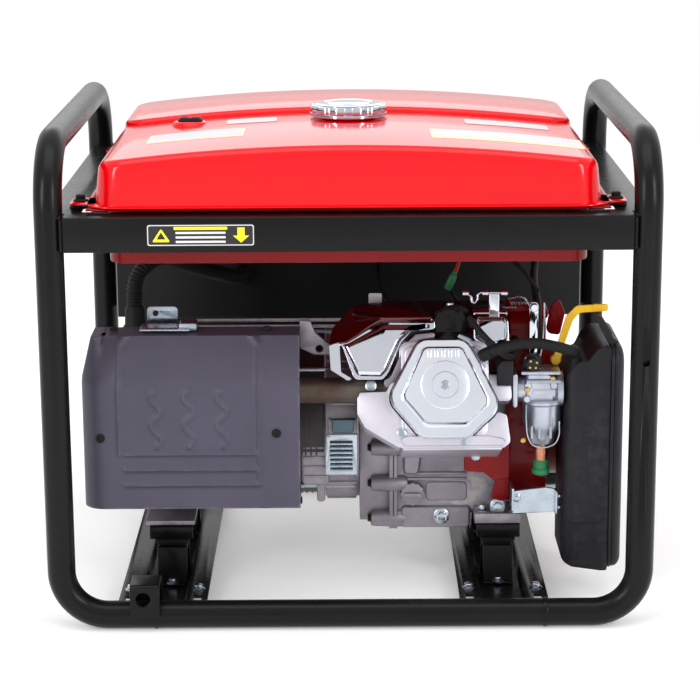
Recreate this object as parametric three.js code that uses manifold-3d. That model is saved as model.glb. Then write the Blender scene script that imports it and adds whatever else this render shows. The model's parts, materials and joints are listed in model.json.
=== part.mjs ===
// Open-frame portable generator: tube frame, fuel tank, single-cylinder engine,
// alternator and control panel. Millimetres, +Z up, origin at the middle of the footprint.
// The cylinder head side faces -Y and the control panel faces +Y.
import * as THREE from "three";
import { mergeVertices } from "three/addons/utils/BufferGeometryUtils.js";
import Module from "manifold-3d";

const wasm = await Module();
wasm.setup();

// ---- driving dimensions ----
const gap = 0.3;

const tube = { radius: 16, halfLength: 331.5, halfDepth: 272, handleHeight: 557,
  bottomBend: 108, topBend: 70, sides: 12, bendSteps: 5 };
const tubeInnerX = tube.halfLength - tube.radius - gap;
const tubeInnerY = tube.halfDepth - tube.radius - gap;

const rail = { bottom: 442, top: 481, sheet: 3, frontY: 284, sideX: 338, legWidth: 40 };
const beam = { halfWidth: 52, flangeTop: 16, sheet: 3, channelHalf: 27, centres: { left: -220, right: 180 } };
const axleBracket = { centreX: -235, width: 34, top: 57, bottom: 18, depth: 40, sheet: 2.5, holeRadius: 8.5 };
const isolator = { saddleTop: 80, saddleWidth: 52, rubberWidth: 32, bridgeWidth: 36, length: 60, sheet: 3,
  bridgeTop: 49, rearY: -110, frontY: 80, engineX: 178.5, alternatorX: -215.5 };

const tank = { halfLength: 283, rearY: -257, frontY: 215, seam: 486.5, crown: 555, sag: 2.3e-4, sheet: 2.5,
  flange: 1.8, flangeReach: 10, panHalfLength: 270, panRearY: -235, panFrontY: 200, panBottom: 420,
  stepY: 32, stepHeight: 6 };
const filler = { x: 1, y: -18, outer: 30, bore: 25, top: 561 };
const cap = { radius: 46.5, bottom: 558, top: 573 };
const gauge = { x: -190, y: -15, radius: 17, bossRadius: 19, bossTop: 551, top: 555 };

const crank = { y: -15, z: 186, radius: 12.5, throwRadius: 32, webRadius: 43.5, webHalfGap: 13, webThickness: 12 };
const cylinder = { x: 110, tilt: THREE.MathUtils.degToRad(22.5), bore: 44, deck: 150, halfLength: 50, halfHeight: 60 };
const head = { left: 58, right: 162, halfHeight: 58, top: 200 };
const plug = { x: 117, distance: 178, top: 98 };
const rocker = { seat: head.top + gap, rim: 212, top: 228, sheet: 3 };
const crankcase = { left: 53, right: 190, sumpRight: 146, rearY: -105, frontY: 75, bottom: 62, top: 262, wall: 8 };
const pto = { left: 12, rearY: -100, frontY: 70, bottom: 65, top: 258 };
const fan = { left: 191, right: 234, radius: 112, wall: 3, intakeRadius: 70 };
const recoil = { right: 292, radius: 78, wall: 3, ropeX: 275, ropeZ: 235, gripY: 70 };
const alternator = { left: -275, coverJoint: -215, stator: 100, cover: 105, adaptor: 106, adaptorLeft: -30,
  rotor: 60, shaft: 12 };

const shield = { left: -308, right: -57, rearY: -235, frontY: -160, bottom: 131, crease: 282, top: 331,
  facetY: -205, corner: 25, sheet: 2 };
const muffler = { left: -288, right: -78, rearY: -226, frontY: -130, bottom: 150, top: 305 };
const exhaust = { y: -165, z: 253, radius: 15 };

const intake = { x: 190, y: -165, z: 254 };
const filterBox = { left: 250, seam: 309, right: 321, rearY: -185, frontY: -95, bottom: 35, top: 307,
  deepY: -52, deepZ: 268, wall: 2.5 };
const panel = { halfLength: 308, rearY: 205, frontY: 276, bottom: 258, top: 432, sheet: 2 };
const socket = { xs: [-60, 40], z: 345, lidSize: 62 };

// ---- materials ----
const finish = (color, roughness, metalness) =>
  new THREE.MeshStandardMaterial({ color, roughness, metalness });
const finishes = {
  frame: finish(0x17181a, 0.35, 0.2),
  blackSheet: finish(0x1b1b1d, 0.45, 0.3),
  zinc: finish(0xa8aab0, 0.35, 0.9),
  tankRed: finish(0xd0121f, 0.15, 0.1),
  dullRed: finish(0x7c1a1e, 0.4, 0.1),
  chrome: finish(0xd8d8dc, 0.08, 1),
  castAluminium: finish(0x8c8683, 0.55, 0.8),
  brushed: finish(0xc2c0bd, 0.25, 1),
  shieldGrey: finish(0x4c4954, 0.5, 0.4),
  rubber: finish(0x141414, 0.85, 0),
  plastic: finish(0x1c1c1e, 0.5, 0),
  steel: finish(0x77787c, 0.4, 0.9),
  yellow: finish(0xe8b418, 0.45, 0),
  foam: finish(0x3a3a34, 0.95, 0),
  clear: finish(0xd9d9d0, 0.1, 0),
};

// ---- geometry helpers ----
const vec = (x, y, z) => new THREE.Vector3(x, y, z);
const alongX = new THREE.Matrix4().makeBasis(vec(0, 1, 0), vec(0, 0, 1), vec(1, 0, 0));
const alongY = new THREE.Matrix4().makeBasis(vec(1, 0, 0), vec(0, 0, 1), vec(0, -1, 0));

function box(x0, x1, y0, y1, z0, z1) {
  const geometry = new THREE.BoxGeometry(x1 - x0, y1 - y0, z1 - z0);
  return geometry.translate((x0 + x1) / 2, (y0 + y1) / 2, (z0 + z1) / 2);
}

function rodX(radius, x0, x1, y, z, sides = 24) {
  const geometry = new THREE.CylinderGeometry(radius, radius, x1 - x0, sides);
  return geometry.rotateZ(Math.PI / 2).translate((x0 + x1) / 2, y, z);
}

function rodY(radius, y0, y1, x, z, sides = 24) {
  const geometry = new THREE.CylinderGeometry(radius, radius, y1 - y0, sides);
  return geometry.translate(x, (y0 + y1) / 2, z);
}

function rodZ(radius, z0, z1, x, y, sides = 24) {
  const geometry = new THREE.CylinderGeometry(radius, radius, z1 - z0, sides);
  return geometry.rotateX(Math.PI / 2).translate(x, y, (z0 + z1) / 2);
}

// Closed outline from corners [x, y, radius]; a corner with a radius becomes an arc.
function outline(corners, arcSteps = 4) {
  const points = [];
  corners.forEach(([x, y, radius = 0], index) => {
    const corner = new THREE.Vector2(x, y);
    if (radius === 0) {
      points.push(corner);
      return;
    }
    const previous = corners.at(index - 1);
    const next = corners[(index + 1) % corners.length];
    const before = corner.clone().sub(new THREE.Vector2(previous[0], previous[1])).normalize();
    const after = new THREE.Vector2(next[0], next[1]).sub(corner).normalize();
    const cosine = before.dot(after);
    const turn = Math.acos(cosine);
    const inward = after.clone().addScaledVector(before, -cosine).normalize();
    const start = corner.clone().addScaledVector(before, -radius * Math.tan(turn / 2));
    for (let step = 0; step <= arcSteps; step++) {
      const angle = (turn * step) / arcSteps;
      const point = start.clone().addScaledVector(before, radius * Math.sin(angle));
      points.push(point.addScaledVector(inward, radius * (1 - Math.cos(angle))));
    }
  });
  return new THREE.Shape(points);
}

function prism(shape, depth) {
  return new THREE.ExtrudeGeometry(shape, { depth, bevelEnabled: false, steps: 1 });
}

// Outline given in Y and Z, extruded from x0 to x1.
function prismX(shape, x0, x1) {
  return prism(shape, x1 - x0).applyMatrix4(alongX).translate(x0, 0, 0);
}

// Outline given in X and Z, extruded from y0 to y1.
function prismY(shape, y0, y1) {
  return prism(shape, y1 - y0).applyMatrix4(alongY).translate(0, y1, 0);
}

// Outline given in X and Y, extruded from z0 to z1.
function prismZ(shape, z0, z1) {
  return prism(shape, z1 - z0).translate(0, 0, z0);
}

function toSolid(geometry) {
  const bare = geometry.clone();
  bare.deleteAttribute("normal");
  bare.deleteAttribute("uv");
  const merged = mergeVertices(bare, 1e-4);
  return new wasm.Manifold(new wasm.Mesh({
    numProp: 3,
    vertProperties: new Float32Array(merged.attributes.position.array),
    triVerts: new Uint32Array(merged.index.array),
  }));
}

function toGeometry(solid) {
  const mesh = solid.getMesh();
  const geometry = new THREE.BufferGeometry();
  geometry.setAttribute("position", new THREE.BufferAttribute(mesh.vertProperties, 3));
  geometry.setIndex(new THREE.BufferAttribute(mesh.triVerts, 1));
  geometry.computeVertexNormals();
  return geometry;
}

function joined(...geometries) {
  return toGeometry(geometries.map(toSolid).reduce((whole, piece) => whole.add(piece)));
}

function cut(geometry, ...tools) {
  return toGeometry(tools.map(toSolid).reduce((whole, tool) => whole.subtract(tool), toSolid(geometry)));
}

function common(first, second) {
  return toGeometry(toSolid(first).intersect(toSolid(second)));
}

// A bent tube's centre line: straight runs and circular bends, with a station only where it turns.
class BentPath extends THREE.Curve {
  constructor(corners, radii, bendSteps) {
    super();
    this.stations = [];
    const addStation = (point, tangent) => {
      const last = this.stations.at(-1);
      if (!last || last.point.distanceTo(point) > 1e-3) {
        this.stations.push({ point, tangent });
      }
    };
    const heading = (from, to) => to.clone().sub(from).normalize();
    addStation(corners[0], heading(corners[0], corners[1]));
    for (let i = 1; i < corners.length - 1; i++) {
      const before = heading(corners[i - 1], corners[i]);
      const after = heading(corners[i], corners[i + 1]);
      const turn = before.angleTo(after);
      const radius = radii[i - 1];
      const inward = after.clone().addScaledVector(before, -before.dot(after)).normalize();
      const start = corners[i].clone().addScaledVector(before, -radius * Math.tan(turn / 2));
      for (let step = 0; step <= bendSteps; step++) {
        const angle = (turn * step) / bendSteps;
        const point = start.clone().addScaledVector(before, radius * Math.sin(angle));
        point.addScaledVector(inward, radius * (1 - Math.cos(angle)));
        const tangent = before.clone().multiplyScalar(Math.cos(angle));
        addStation(point, tangent.addScaledVector(inward, Math.sin(angle)));
      }
    }
    addStation(corners.at(-1), heading(corners.at(-2), corners.at(-1)));
  }

  getPoint(t, target = new THREE.Vector3()) {
    return target.copy(this.stations[Math.round(t * (this.stations.length - 1))].point);
  }

  getTangent(t, target = new THREE.Vector3()) {
    return target.copy(this.stations[Math.round(t * (this.stations.length - 1))].tangent);
  }

  getUtoTmapping(u) {
    return u;
  }
}

function ring(radius, sides) {
  const points = [];
  for (let i = 0; i < sides; i++) {
    const angle = ((i + 0.5) * 2 * Math.PI) / sides;
    points.push(new THREE.Vector2(radius * Math.cos(angle), radius * Math.sin(angle)));
  }
  return new THREE.Shape(points);
}

function bentTube(corners, radii, radius, sides = tube.sides, bendSteps = tube.bendSteps) {
  const path = new BentPath(corners, radii, bendSteps);
  const steps = path.stations.length - 1;
  return new THREE.ExtrudeGeometry(ring(radius, sides), { steps, extrudePath: path });
}

function hose(points, radius, steps, sides = 8) {
  const path = new THREE.CatmullRomCurve3(points.map((point) => vec(...point)), false, "centripetal");
  return new THREE.ExtrudeGeometry(ring(radius, sides), { steps, extrudePath: path });
}

// ---- scene graph ----
const generator = new THREE.Group();

// The cylinder bank: local -Y runs out along the inclined cylinder, local Z across it.
const bank = new THREE.Group();
bank.position.set(0, crank.y, crank.z);
bank.rotation.x = -cylinder.tilt;
generator.add(bank);
const bankMatrix = new THREE.Matrix4().makeRotationX(-cylinder.tilt).setPosition(0, crank.y, crank.z);

function add(name, geometry, material, parent = generator) {
  const mesh = new THREE.Mesh(geometry, material);
  mesh.name = name;
  parent.add(mesh);
}

// ---- frame ----
function endTube(side) {
  const endX = side * (tube.halfLength - tube.bottomBend);
  const x = side * tube.halfLength;
  const y = tube.halfDepth;
  const corners = [
    vec(endX, -y, tube.radius), vec(x, -y, tube.radius), vec(x, -y, tube.handleHeight),
    vec(x, y, tube.handleHeight), vec(x, y, tube.radius), vec(endX, y, tube.radius),
  ];
  const radii = [tube.bottomBend, tube.topBend, tube.topBend, tube.bottomBend];
  const geometry = bentTube(corners, radii, tube.radius);
  if (side < 0) {
    return geometry;
  }
  const plugHole = rodY(4, -tube.halfDepth - tube.radius - 1, -tube.halfDepth, x, 314, 12);
  return cut(geometry, plugHole);
}

function bottomTube(y) {
  const reach = tube.halfLength - tube.bottomBend - gap;
  return bentTube([vec(-reach, y, tube.radius), vec(reach, y, tube.radius)], [], tube.radius);
}

function tankRailRing() {
  const { bottom, top, sheet, frontY, sideX, legWidth } = rail;
  const members = [];
  for (const side of [-1, 1]) {
    const face = [side * frontY, side * (frontY - sheet)].sort((a, b) => a - b);
    const leg = [side * frontY, side * (frontY - legWidth)].sort((a, b) => a - b);
    members.push(box(-tubeInnerX, tubeInnerX, face[0], face[1], bottom, top));
    members.push(box(-tubeInnerX, tubeInnerX, leg[0], leg[1], top - sheet, top));
    const wall = [side * sideX, side * (sideX - sheet)].sort((a, b) => a - b);
    const shelf = [side * sideX, side * (sideX - legWidth)].sort((a, b) => a - b);
    members.push(box(wall[0], wall[1], -tubeInnerY, tubeInnerY, bottom, top));
    members.push(box(shelf[0], shelf[1], -tubeInnerY, tubeInnerY, top - sheet, top));
  }
  return joined(...members);
}

function baseBeam(centreX) {
  const { halfWidth, flangeTop, sheet, channelHalf } = beam;
  const under = flangeTop - sheet;
  const section = outline([
    [centreX - halfWidth, flangeTop], [centreX - halfWidth, under], [centreX - channelHalf - 2, under],
    [centreX - channelHalf, 0], [centreX + channelHalf, 0], [centreX + channelHalf + 2, under],
    [centreX + halfWidth, under], [centreX + halfWidth, flangeTop], [centreX + channelHalf - 1, flangeTop],
    [centreX + channelHalf - 3, sheet], [centreX - channelHalf + 3, sheet],
    [centreX - channelHalf + 1, flangeTop],
  ]);
  const slots = [];
  for (const across of [-40, 40]) {
    for (const y of [-225, 225]) {
      slots.push(box(centreX + across - 4.5, centreX + across + 4.5, y - 12, y + 12, 0, 20));
    }
  }
  return cut(prismY(section, -tubeInnerY, tubeInnerY), ...slots);
}

function axleSupport(side) {
  const { centreX, width, top, bottom, depth, sheet, holeRadius } = axleBracket;
  const outerY = tube.halfDepth + tube.radius + gap + sheet;
  const innerY = outerY - depth;
  const section = outline([
    [outerY, bottom], [outerY, top, 4], [innerY, top, 4], [innerY, bottom],
    [innerY + sheet, bottom], [innerY + sheet, top - sheet], [outerY - sheet, top - sheet],
    [outerY - sheet, bottom],
  ].map(([y, z, radius]) => [side * y, z, radius]));
  const plate = prismX(section, centreX - width / 2, centreX + width / 2);
  const faces = [side * (outerY - sheet - 2), side * (outerY + 2)].sort((a, b) => a - b);
  return cut(plate, rodY(holeRadius, faces[0], faces[1], centreX - 2, 40, 20));
}

function isolatorMount(x, y) {
  const { saddleTop, saddleWidth, rubberWidth, bridgeWidth, length, sheet, bridgeTop } = isolator;
  const foot = beam.sheet + gap;
  const legY = length / 2 - 8;
  const bridge = outline([
    [y - length / 2 - 4, foot], [y - legY + sheet, foot], [y - legY + sheet, bridgeTop - sheet],
    [y + legY - sheet, bridgeTop - sheet], [y + legY - sheet, foot], [y + length / 2 + 4, foot],
    [y + length / 2 + 4, foot + sheet], [y + legY, foot + sheet], [y + legY, bridgeTop],
    [y - legY, bridgeTop], [y - legY, foot + sheet], [y - length / 2 - 4, foot + sheet],
  ]);
  const saddleY = length / 2;
  const saddle = outline([
    [y - saddleY, 62], [y - saddleY, saddleTop, 5], [y + saddleY, saddleTop, 5], [y + saddleY, 62],
    [y + saddleY - sheet, 62], [y + saddleY - sheet, saddleTop - sheet],
    [y - saddleY + sheet, saddleTop - sheet], [y - saddleY + sheet, 62],
  ]);
  return joined(
    prismX(bridge, x - bridgeWidth / 2, x + bridgeWidth / 2),
    box(x - rubberWidth / 2, x + rubberWidth / 2, y - 18, y + 18, bridgeTop - 1, saddleTop - 1),
    prismX(saddle, x - saddleWidth / 2, x + saddleWidth / 2),
  );
}

function buildFrame() {
  add("left_end_tube", endTube(-1), finishes.frame);
  add("right_end_tube", endTube(1), finishes.frame);
  add("rear_bottom_tube", bottomTube(-tube.halfDepth), finishes.frame);
  add("front_bottom_tube", bottomTube(tube.halfDepth), finishes.frame);
  add("tank_rail_ring", tankRailRing(), finishes.frame);
  add("left_base_beam", baseBeam(beam.centres.left), finishes.frame);
  add("right_base_beam", baseBeam(beam.centres.right), finishes.frame);
  add("rear_axle_bracket", axleSupport(-1), finishes.frame);
  add("front_axle_bracket", axleSupport(1), finishes.frame);
  const { engineX, alternatorX, rearY, frontY } = isolator;
  add("engine_mount_rear", isolatorMount(engineX, rearY), finishes.blackSheet);
  add("engine_mount_front", isolatorMount(engineX, frontY), finishes.blackSheet);
  add("alternator_mount_rear", isolatorMount(alternatorX, rearY), finishes.blackSheet);
  add("alternator_mount_front", isolatorMount(alternatorX, frontY), finishes.blackSheet);
}

// ---- fuel tank ----
// Arched cross-section in X and Z; the top sags towards both ends.
function tankSection(halfLength, bottom, lift, inset, corner) {
  const top = (x) => tank.crown + lift - inset - tank.sag * x * x;
  const corners = [[-halfLength, bottom], [halfLength, bottom], [halfLength - 6, top(halfLength), corner]];
  for (const x of [190, 95, 0, -95, -190]) {
    corners.push([x, top(x)]);
  }
  corners.push([-halfLength + 6, top(halfLength), corner]);
  return outline(corners);
}

function tankUpperShell() {
  const { halfLength, rearY, frontY, seam, flange, flangeReach, sheet, stepY, stepHeight } = tank;
  const flangeX = halfLength + flangeReach;
  const flangeRear = rearY - flangeReach + 4;
  const flangeFront = frontY + flangeReach - 4;
  const parts = [
    prismY(tankSection(halfLength, seam, 0, 0, 18), rearY, frontY),
    prismY(tankSection(halfLength - 3, seam, stepHeight, 0, 18), stepY, frontY - 4),
    box(-flangeX, flangeX, flangeRear, flangeFront, seam, seam + flange),
    rodZ(filler.outer, tank.crown - 12, filler.top, filler.x, filler.y, 32),
    rodZ(gauge.bossRadius, tank.crown - 14, gauge.bossTop, gauge.x, gauge.y, 20),
  ];
  for (const side of [-1, 1]) {
    for (const y of [-217, 175]) {
      const reach = [side * (flangeX - 4), side * 312].sort((a, b) => a - b);
      parts.push(box(reach[0], reach[1], y - 22, y + 22, seam, seam + flange));
    }
  }
  const inside = prismY(tankSection(halfLength - sheet, seam - 5, 0, sheet, 16), rearY + sheet, frontY - sheet);
  const neck = rodZ(filler.bore, tank.crown - 20, filler.top + 5, filler.x, filler.y, 32);
  return cut(joined(...parts), inside, neck);
}

function tankLowerPan() {
  const { panHalfLength, panRearY, panFrontY, panBottom, seam, sheet, flange, halfLength } = tank;
  const top = seam - gap;
  const corner = 22;
  const plan = (x, y0, y1, radius) => outline([[-x, y0, radius], [x, y0, radius], [x, y1, radius], [-x, y1, radius]]);
  const outer = joined(
    prismZ(plan(panHalfLength, panRearY, panFrontY, corner), panBottom, top),
    box(-halfLength - 8, halfLength + 8, tank.rearY - 4, tank.frontY + 4, top - flange, top),
  );
  const inner = plan(panHalfLength - sheet, panRearY + sheet, panFrontY - sheet, corner - sheet);
  return cut(outer, prismZ(inner, panBottom + sheet, top + 5));
}

function fuelCap() {
  const skirt = rodZ(cap.radius, cap.bottom, cap.top, filler.x, filler.y, 32);
  const recess = rodZ(filler.outer + 1, cap.bottom - 2, filler.top + 2.1, filler.x, filler.y, 32);
  return cut(skirt, recess);
}

function capGasket() {
  const { x, y, outer, bore, top } = filler;
  const disc = rodZ(outer, top + gap, top + 1.8, x, y, 32);
  return cut(disc, rodZ(bore, top - 1, top + 4, x, y, 32));
}

const tap = { x: 240, y: 120, bodyTop: 404, bodyBottom: 384, outlet: 376 };

function fuelTap() {
  return joined(
    rodZ(9, tap.bodyTop - 2, tank.panBottom - gap, tap.x, tap.y, 16),
    box(tap.x - 12, tap.x + 12, tap.y - 11, tap.y + 11, tap.bodyBottom, tap.bodyTop),
    rodZ(4, tap.outlet, tap.bodyBottom + 2, tap.x, tap.y, 12),
  );
}

function fuelTapLever() {
  const faceX = tap.x + 12 + gap;
  const middle = (tap.bodyBottom + tap.bodyTop) / 2;
  return joined(
    rodX(9, faceX, faceX + 8, tap.y, middle, 16),
    box(faceX + 3, faceX + 8, tap.y - 34, tap.y, middle - 5, middle + 5),
  );
}

function buildFuelSystem() {
  add("tank_upper_shell", tankUpperShell(), finishes.tankRed);
  add("tank_lower_pan", tankLowerPan(), finishes.tankRed);
  add("fuel_cap_gasket", capGasket(), finishes.rubber);
  add("fuel_cap", fuelCap(), finishes.chrome);
  add("fuel_gauge", rodZ(gauge.radius, gauge.bossTop + gap, gauge.top, gauge.x, gauge.y, 20), finishes.clear);
  add("fuel_tap", fuelTap(), finishes.castAluminium);
  add("fuel_tap_lever", fuelTapLever(), finishes.plastic);
  const route = [
    [tap.x, tap.y, tap.outlet - gap], [tap.x, tap.y, 364], [239, 106, 350], [234, 60, 345], [226, -60, 345],
    [224, -112, 340], [223, -126, 312], [222, -126, 278], [222, -126, 262.3],
  ];
  add("fuel_hose", hose(route, 5, 18), finishes.rubber);
}

// ---- engine ----
function bankBox(x0, x1, near, far, v0, v1) {
  return box(x0, x1, -far, -near, v0, v1);
}

function bankPlate(corners, near, far, arcSteps = 4) {
  return prismY(outline(corners, arcSteps), -far, -near);
}

function crankcaseBody() {
  const { left, right, sumpRight, rearY, frontY, bottom, top, wall } = crankcase;
  const lugTop = 92;
  const lugBottom = isolator.saddleTop + gap;
  const section = (lowest, corner) =>
    outline([[rearY, lowest, corner], [frontY, lowest, corner], [frontY, top, 40], [rearY, top, 40]]);
  const barrel = bankBox(cylinder.x - cylinder.halfLength, cylinder.x + cylinder.halfLength, 60, cylinder.deck,
    -cylinder.halfHeight, cylinder.halfHeight).applyMatrix4(bankMatrix);
  const body = joined(
    prismX(section(lugBottom, 8), left + gap, right),
    prismX(section(bottom, 24), left + gap, sumpRight),
    barrel,
    box(150, 205, -141, rearY + 15, lugBottom, lugTop),
    box(150, 205, frontY - 15, 111, lugBottom, lugTop),
  );
  const chamber = box(left - 10, right - wall, rearY + wall, frontY - wall, lugBottom + wall, top - wall);
  const sump = box(left - 10, sumpRight - wall, rearY + wall, frontY - wall, bottom + wall, top - wall);
  const bore = rodY(cylinder.bore, -cylinder.deck - 5, -30, cylinder.x, 0, 32).applyMatrix4(bankMatrix);
  const bearing = rodX(crank.radius + 0.5, right - wall - 5, right + 5, crank.y, crank.z, 20);
  const dipstickHole = rodY(8, rearY - 5, rearY + wall + 5, dipstick.x, dipstick.z, 16);
  return cut(body, chamber, sump, bore, bearing, dipstickHole);
}

const dipstick = { x: 76, z: 108 };

function ptoCover() {
  const section = outline([[pto.rearY, pto.bottom, 26], [pto.frontY, pto.bottom, 26],
    [pto.frontY, pto.top, 60], [pto.rearY, pto.top, 60]]);
  return cut(prismX(section, pto.left, crankcase.left),
    rodX(crank.radius + 0.5, pto.left - 5, crankcase.left + 5, crank.y, crank.z, 20));
}

function cylinderHead() {
  const { left, right, halfHeight, top } = head;
  return joined(
    bankBox(left, right, cylinder.deck + gap, top, -halfHeight, halfHeight),
    bankBox(right - 2, intake.x - gap, cylinder.deck + gap, 182, -12, 20),
  );
}

function valveCover() {
  const rim = [[84, 57, 8], [132, 58, 8], [153, 30, 8], [173, -14, 6], [169, -31, 6], [135, -57, 8],
    [87, -57, 8], [65, -42, 8], [46, -17, 6], [47, -4, 6], [66, 42, 8]];
  const top = [[84, 48, 8], [131, 48, 8], [148, 20, 8], [160, -12, 6], [157, -24, 6], [136, -43, 8],
    [89, -48, 8], [62, -18, 6], [61, -8, 6], [74, 32, 8]];
  const solid = joined(bankPlate(rim, rocker.seat, rocker.rim, 2), bankPlate(top, rocker.rim - 1, rocker.top, 2));
  const hollow = bankBox(78, 138, rocker.seat - 5, rocker.top - rocker.sheet, -38, 38);
  return cut(solid, hollow);
}

function upperShroud() {
  const near = 193;
  const far = 195;
  const left = [[-24, 52], [-8, 53], [6, 13], [39, 13], [46, 22], [52, 37], [61, 57], [73, 70], [101, 72],
    [99, 84], [37, 84], [-2, 60]];
  const right = [[147, 84], [181, 84], [185, 79], [184, 57], [166, 51], [147, 64]];
  const level = prismZ(outline([[36, -75], [36, -163], [98, -163], [98, -120], [148, -120], [148, -163],
    [183, -163], [183, -75]]), 335, 337);
  const roof = level.applyMatrix4(bankMatrix.clone().invert());
  const clearance = bankBox(head.left - gap, head.right + gap, cylinder.deck, head.top + 5,
    -head.halfHeight - gap, head.halfHeight + gap);
  return cut(joined(bankPlate(left, near, far), bankPlate(right, near, far), roof), clearance);
}

function lowerShroud() {
  const face = [[10, -9], [12, -3], [43, -2], [70, -2], [70, -30], [150, -30], [158, -36], [180, -28],
    [176, -66], [60, -66], [20, -40], [11, -26]];
  const floor = bankBox(60, 176, 112, 198, -66, -64);
  const clearance = bankBox(head.left - gap, head.right + gap, cylinder.deck - 50, head.top + 5,
    -head.halfHeight - gap, head.halfHeight + gap);
  return cut(joined(bankPlate(face, 196, 198), floor), clearance);
}

function fanHousing() {
  const volute = (inset) => joined(
    rodX(fan.radius - inset, 0, 50, crank.y, crank.z, 32),
    prismX(outline([[-118 + inset, 196], [-20 - inset, 196], [-20 - inset, 332 - inset, 20],
      [-118 + inset, 332 - inset, 20]]), 0, 50),
  );
  const depth = fan.right - fan.left;
  const outer = common(volute(0), box(0, depth, -400, 400, -100, 600)).translate(fan.left, 0, 0);
  const inner = volute(fan.wall).translate(fan.right - fan.wall - 50, 0, 0);
  return cut(outer, inner, rodX(fan.intakeRadius, fan.left, fan.right + 5, crank.y, crank.z, 32));
}

function recoilCover() {
  const start = fan.right + gap;
  const shoulder = 276;
  const { right, radius, wall, ropeX, ropeZ } = recoil;
  const innerTop = right - wall;
  const outer = joined(
    rodX(radius, start, shoulder, crank.y, crank.z, 28),
    rodX(radius - 16, shoulder - 1, right, crank.y, crank.z, 28),
    box(ropeX - 12, ropeX + 12, 30, recoil.gripY - 4, ropeZ - 12, ropeZ + 12),
  );
  const tools = [
    rodX(radius - wall, start - 5, shoulder - wall, crank.y, crank.z, 28),
    rodX(radius - 16 - wall, shoulder - wall - 1, innerTop, crank.y, crank.z, 28),
    box(ropeX - 6, ropeX + 5, crank.y - 50, 40, ropeZ - 6, ropeZ + 6),
    rodY(5, 30, recoil.gripY + 5, ropeX, ropeZ, 12),
  ];
  for (let i = 0; i < 8; i++) {
    const slot = box(innerTop - 5, right + 5, -4, 4, 28, 52);
    tools.push(slot.rotateX((i * Math.PI) / 4).translate(0, crank.y, crank.z));
  }
  return cut(outer, ...tools);
}

function recoilGrip() {
  const { ropeX, ropeZ, gripY } = recoil;
  return joined(
    rodX(10, ropeX - 33, ropeX + 33, gripY + 12, ropeZ, 16),
    rodY(3, -62, gripY + 6, ropeX, ropeZ, 10),
  );
}

function crankHalf(webNear, webFar, shaftStart, shaftEnd) {
  return joined(
    rodX(crank.webRadius, webNear, webFar, crank.y, crank.z, 24),
    rodX(crank.radius, shaftStart, shaftEnd, crank.y, crank.z, 20),
  );
}

function pistonAndRod() {
  const { x, bore, deck } = cylinder;
  const crown = deck - 1;
  const skirt = crown - 40;
  const pin = crown - 22;
  const piston = cut(rodY(bore - 0.5, -crown, -skirt, x, 0, 32), rodY(bore - 5, -crown + 8, -skirt + 5, x, 0, 32));
  const bigEnd = rodX(20, x - 9, x + 9, -crank.throwRadius, 0, 20);
  return cut(
    joined(piston, rodX(9, x - bore + 2, x + bore - 2, -pin, 0, 16),
      box(x - 8, x + 8, -pin, -crank.throwRadius - 10, -8, 8), bigEnd),
    rodX(14, x - 12, x + 12, -crank.throwRadius, 0, 20),
  );
}

function oilDipstick() {
  const faceY = crankcase.rearY;
  return joined(
    rodY(15, faceY - 13, faceY - gap, dipstick.x, dipstick.z, 16),
    rodY(7.5, faceY - 2, faceY + 8, dipstick.x, dipstick.z, 16),
    rodY(3, faceY, faceY + 60, dipstick.x, dipstick.z, 8),
  );
}

function buildEngine() {
  add("crankcase", crankcaseBody(), finishes.castAluminium);
  add("crankcase_cover", ptoCover(), finishes.castAluminium);
  add("cylinder_head", cylinderHead(), finishes.castAluminium, bank);
  add("valve_cover", valveCover(), finishes.brushed, bank);
  add("upper_shroud", upperShroud(), finishes.chrome, bank);
  add("lower_shroud", lowerShroud(), finishes.zinc, bank);
  add("spark_plug_boot", rodZ(13, head.halfHeight + gap, plug.top, plug.x, -plug.distance, 16),
    finishes.rubber, bank);
  add("piston", pistonAndRod(), finishes.castAluminium, bank);
  const webInner = cylinder.x - crank.webHalfGap;
  const webOuter = cylinder.x + crank.webHalfGap;
  add("crankshaft_pto_half",
    crankHalf(webInner - crank.webThickness, webInner, 20 + gap, webInner - 1), finishes.steel);
  add("crankshaft_flywheel_half",
    crankHalf(webOuter, webOuter + crank.webThickness, webOuter + 1, 228), finishes.steel);
  add("flywheel", cut(rodX(98, 196, 222, crank.y, crank.z, 32),
    rodX(crank.radius + gap, 190, 230, crank.y, crank.z, 20)), finishes.castAluminium);
  add("fan_housing", fanHousing(), finishes.dullRed);
  add("recoil_cover", recoilCover(), finishes.dullRed);
  add("recoil_grip", recoilGrip(), finishes.plastic);
  add("oil_dipstick", oilDipstick(), finishes.plastic);
  const plugTop = (rise) => vec(plug.x, -plug.distance, plug.top + rise).applyMatrix4(bankMatrix).toArray();
  const leadRoute = [
    plugTop(gap), plugTop(14), [145, -131, 370], [175, -120, 366], [192, -101, 358], [199, -84, 350],
    [200, -80, 341], [200, -80, 332.6],
  ];
  add("ignition_lead", hose(leadRoute, 4, 18), finishes.rubber);
}

// ---- intake side ----
function carburetor() {
  const { x, y, z } = intake;
  return joined(
    box(x, x + 7, y - 20, y + 20, z - 18, z + 16),
    rodX(16, x + 5, filterBox.left - gap, y, z, 20),
    box(x + 14, x + 46, y - 18, y + 20, z - 18, z + 23),
    rodZ(22, 188, z - 10, x + 36, y, 24),
    box(x + 27, x + 37, y + 18, y + 43, z - 10, z),
    rodZ(4, z - 5, z + 8, x + 32, y + 39, 12),
  );
}

function fuelSolenoid() {
  return joined(rodZ(7.5, 166, 188 - gap, 226, intake.y, 16), rodZ(11, 148, 168, 226, intake.y, 16));
}

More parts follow.
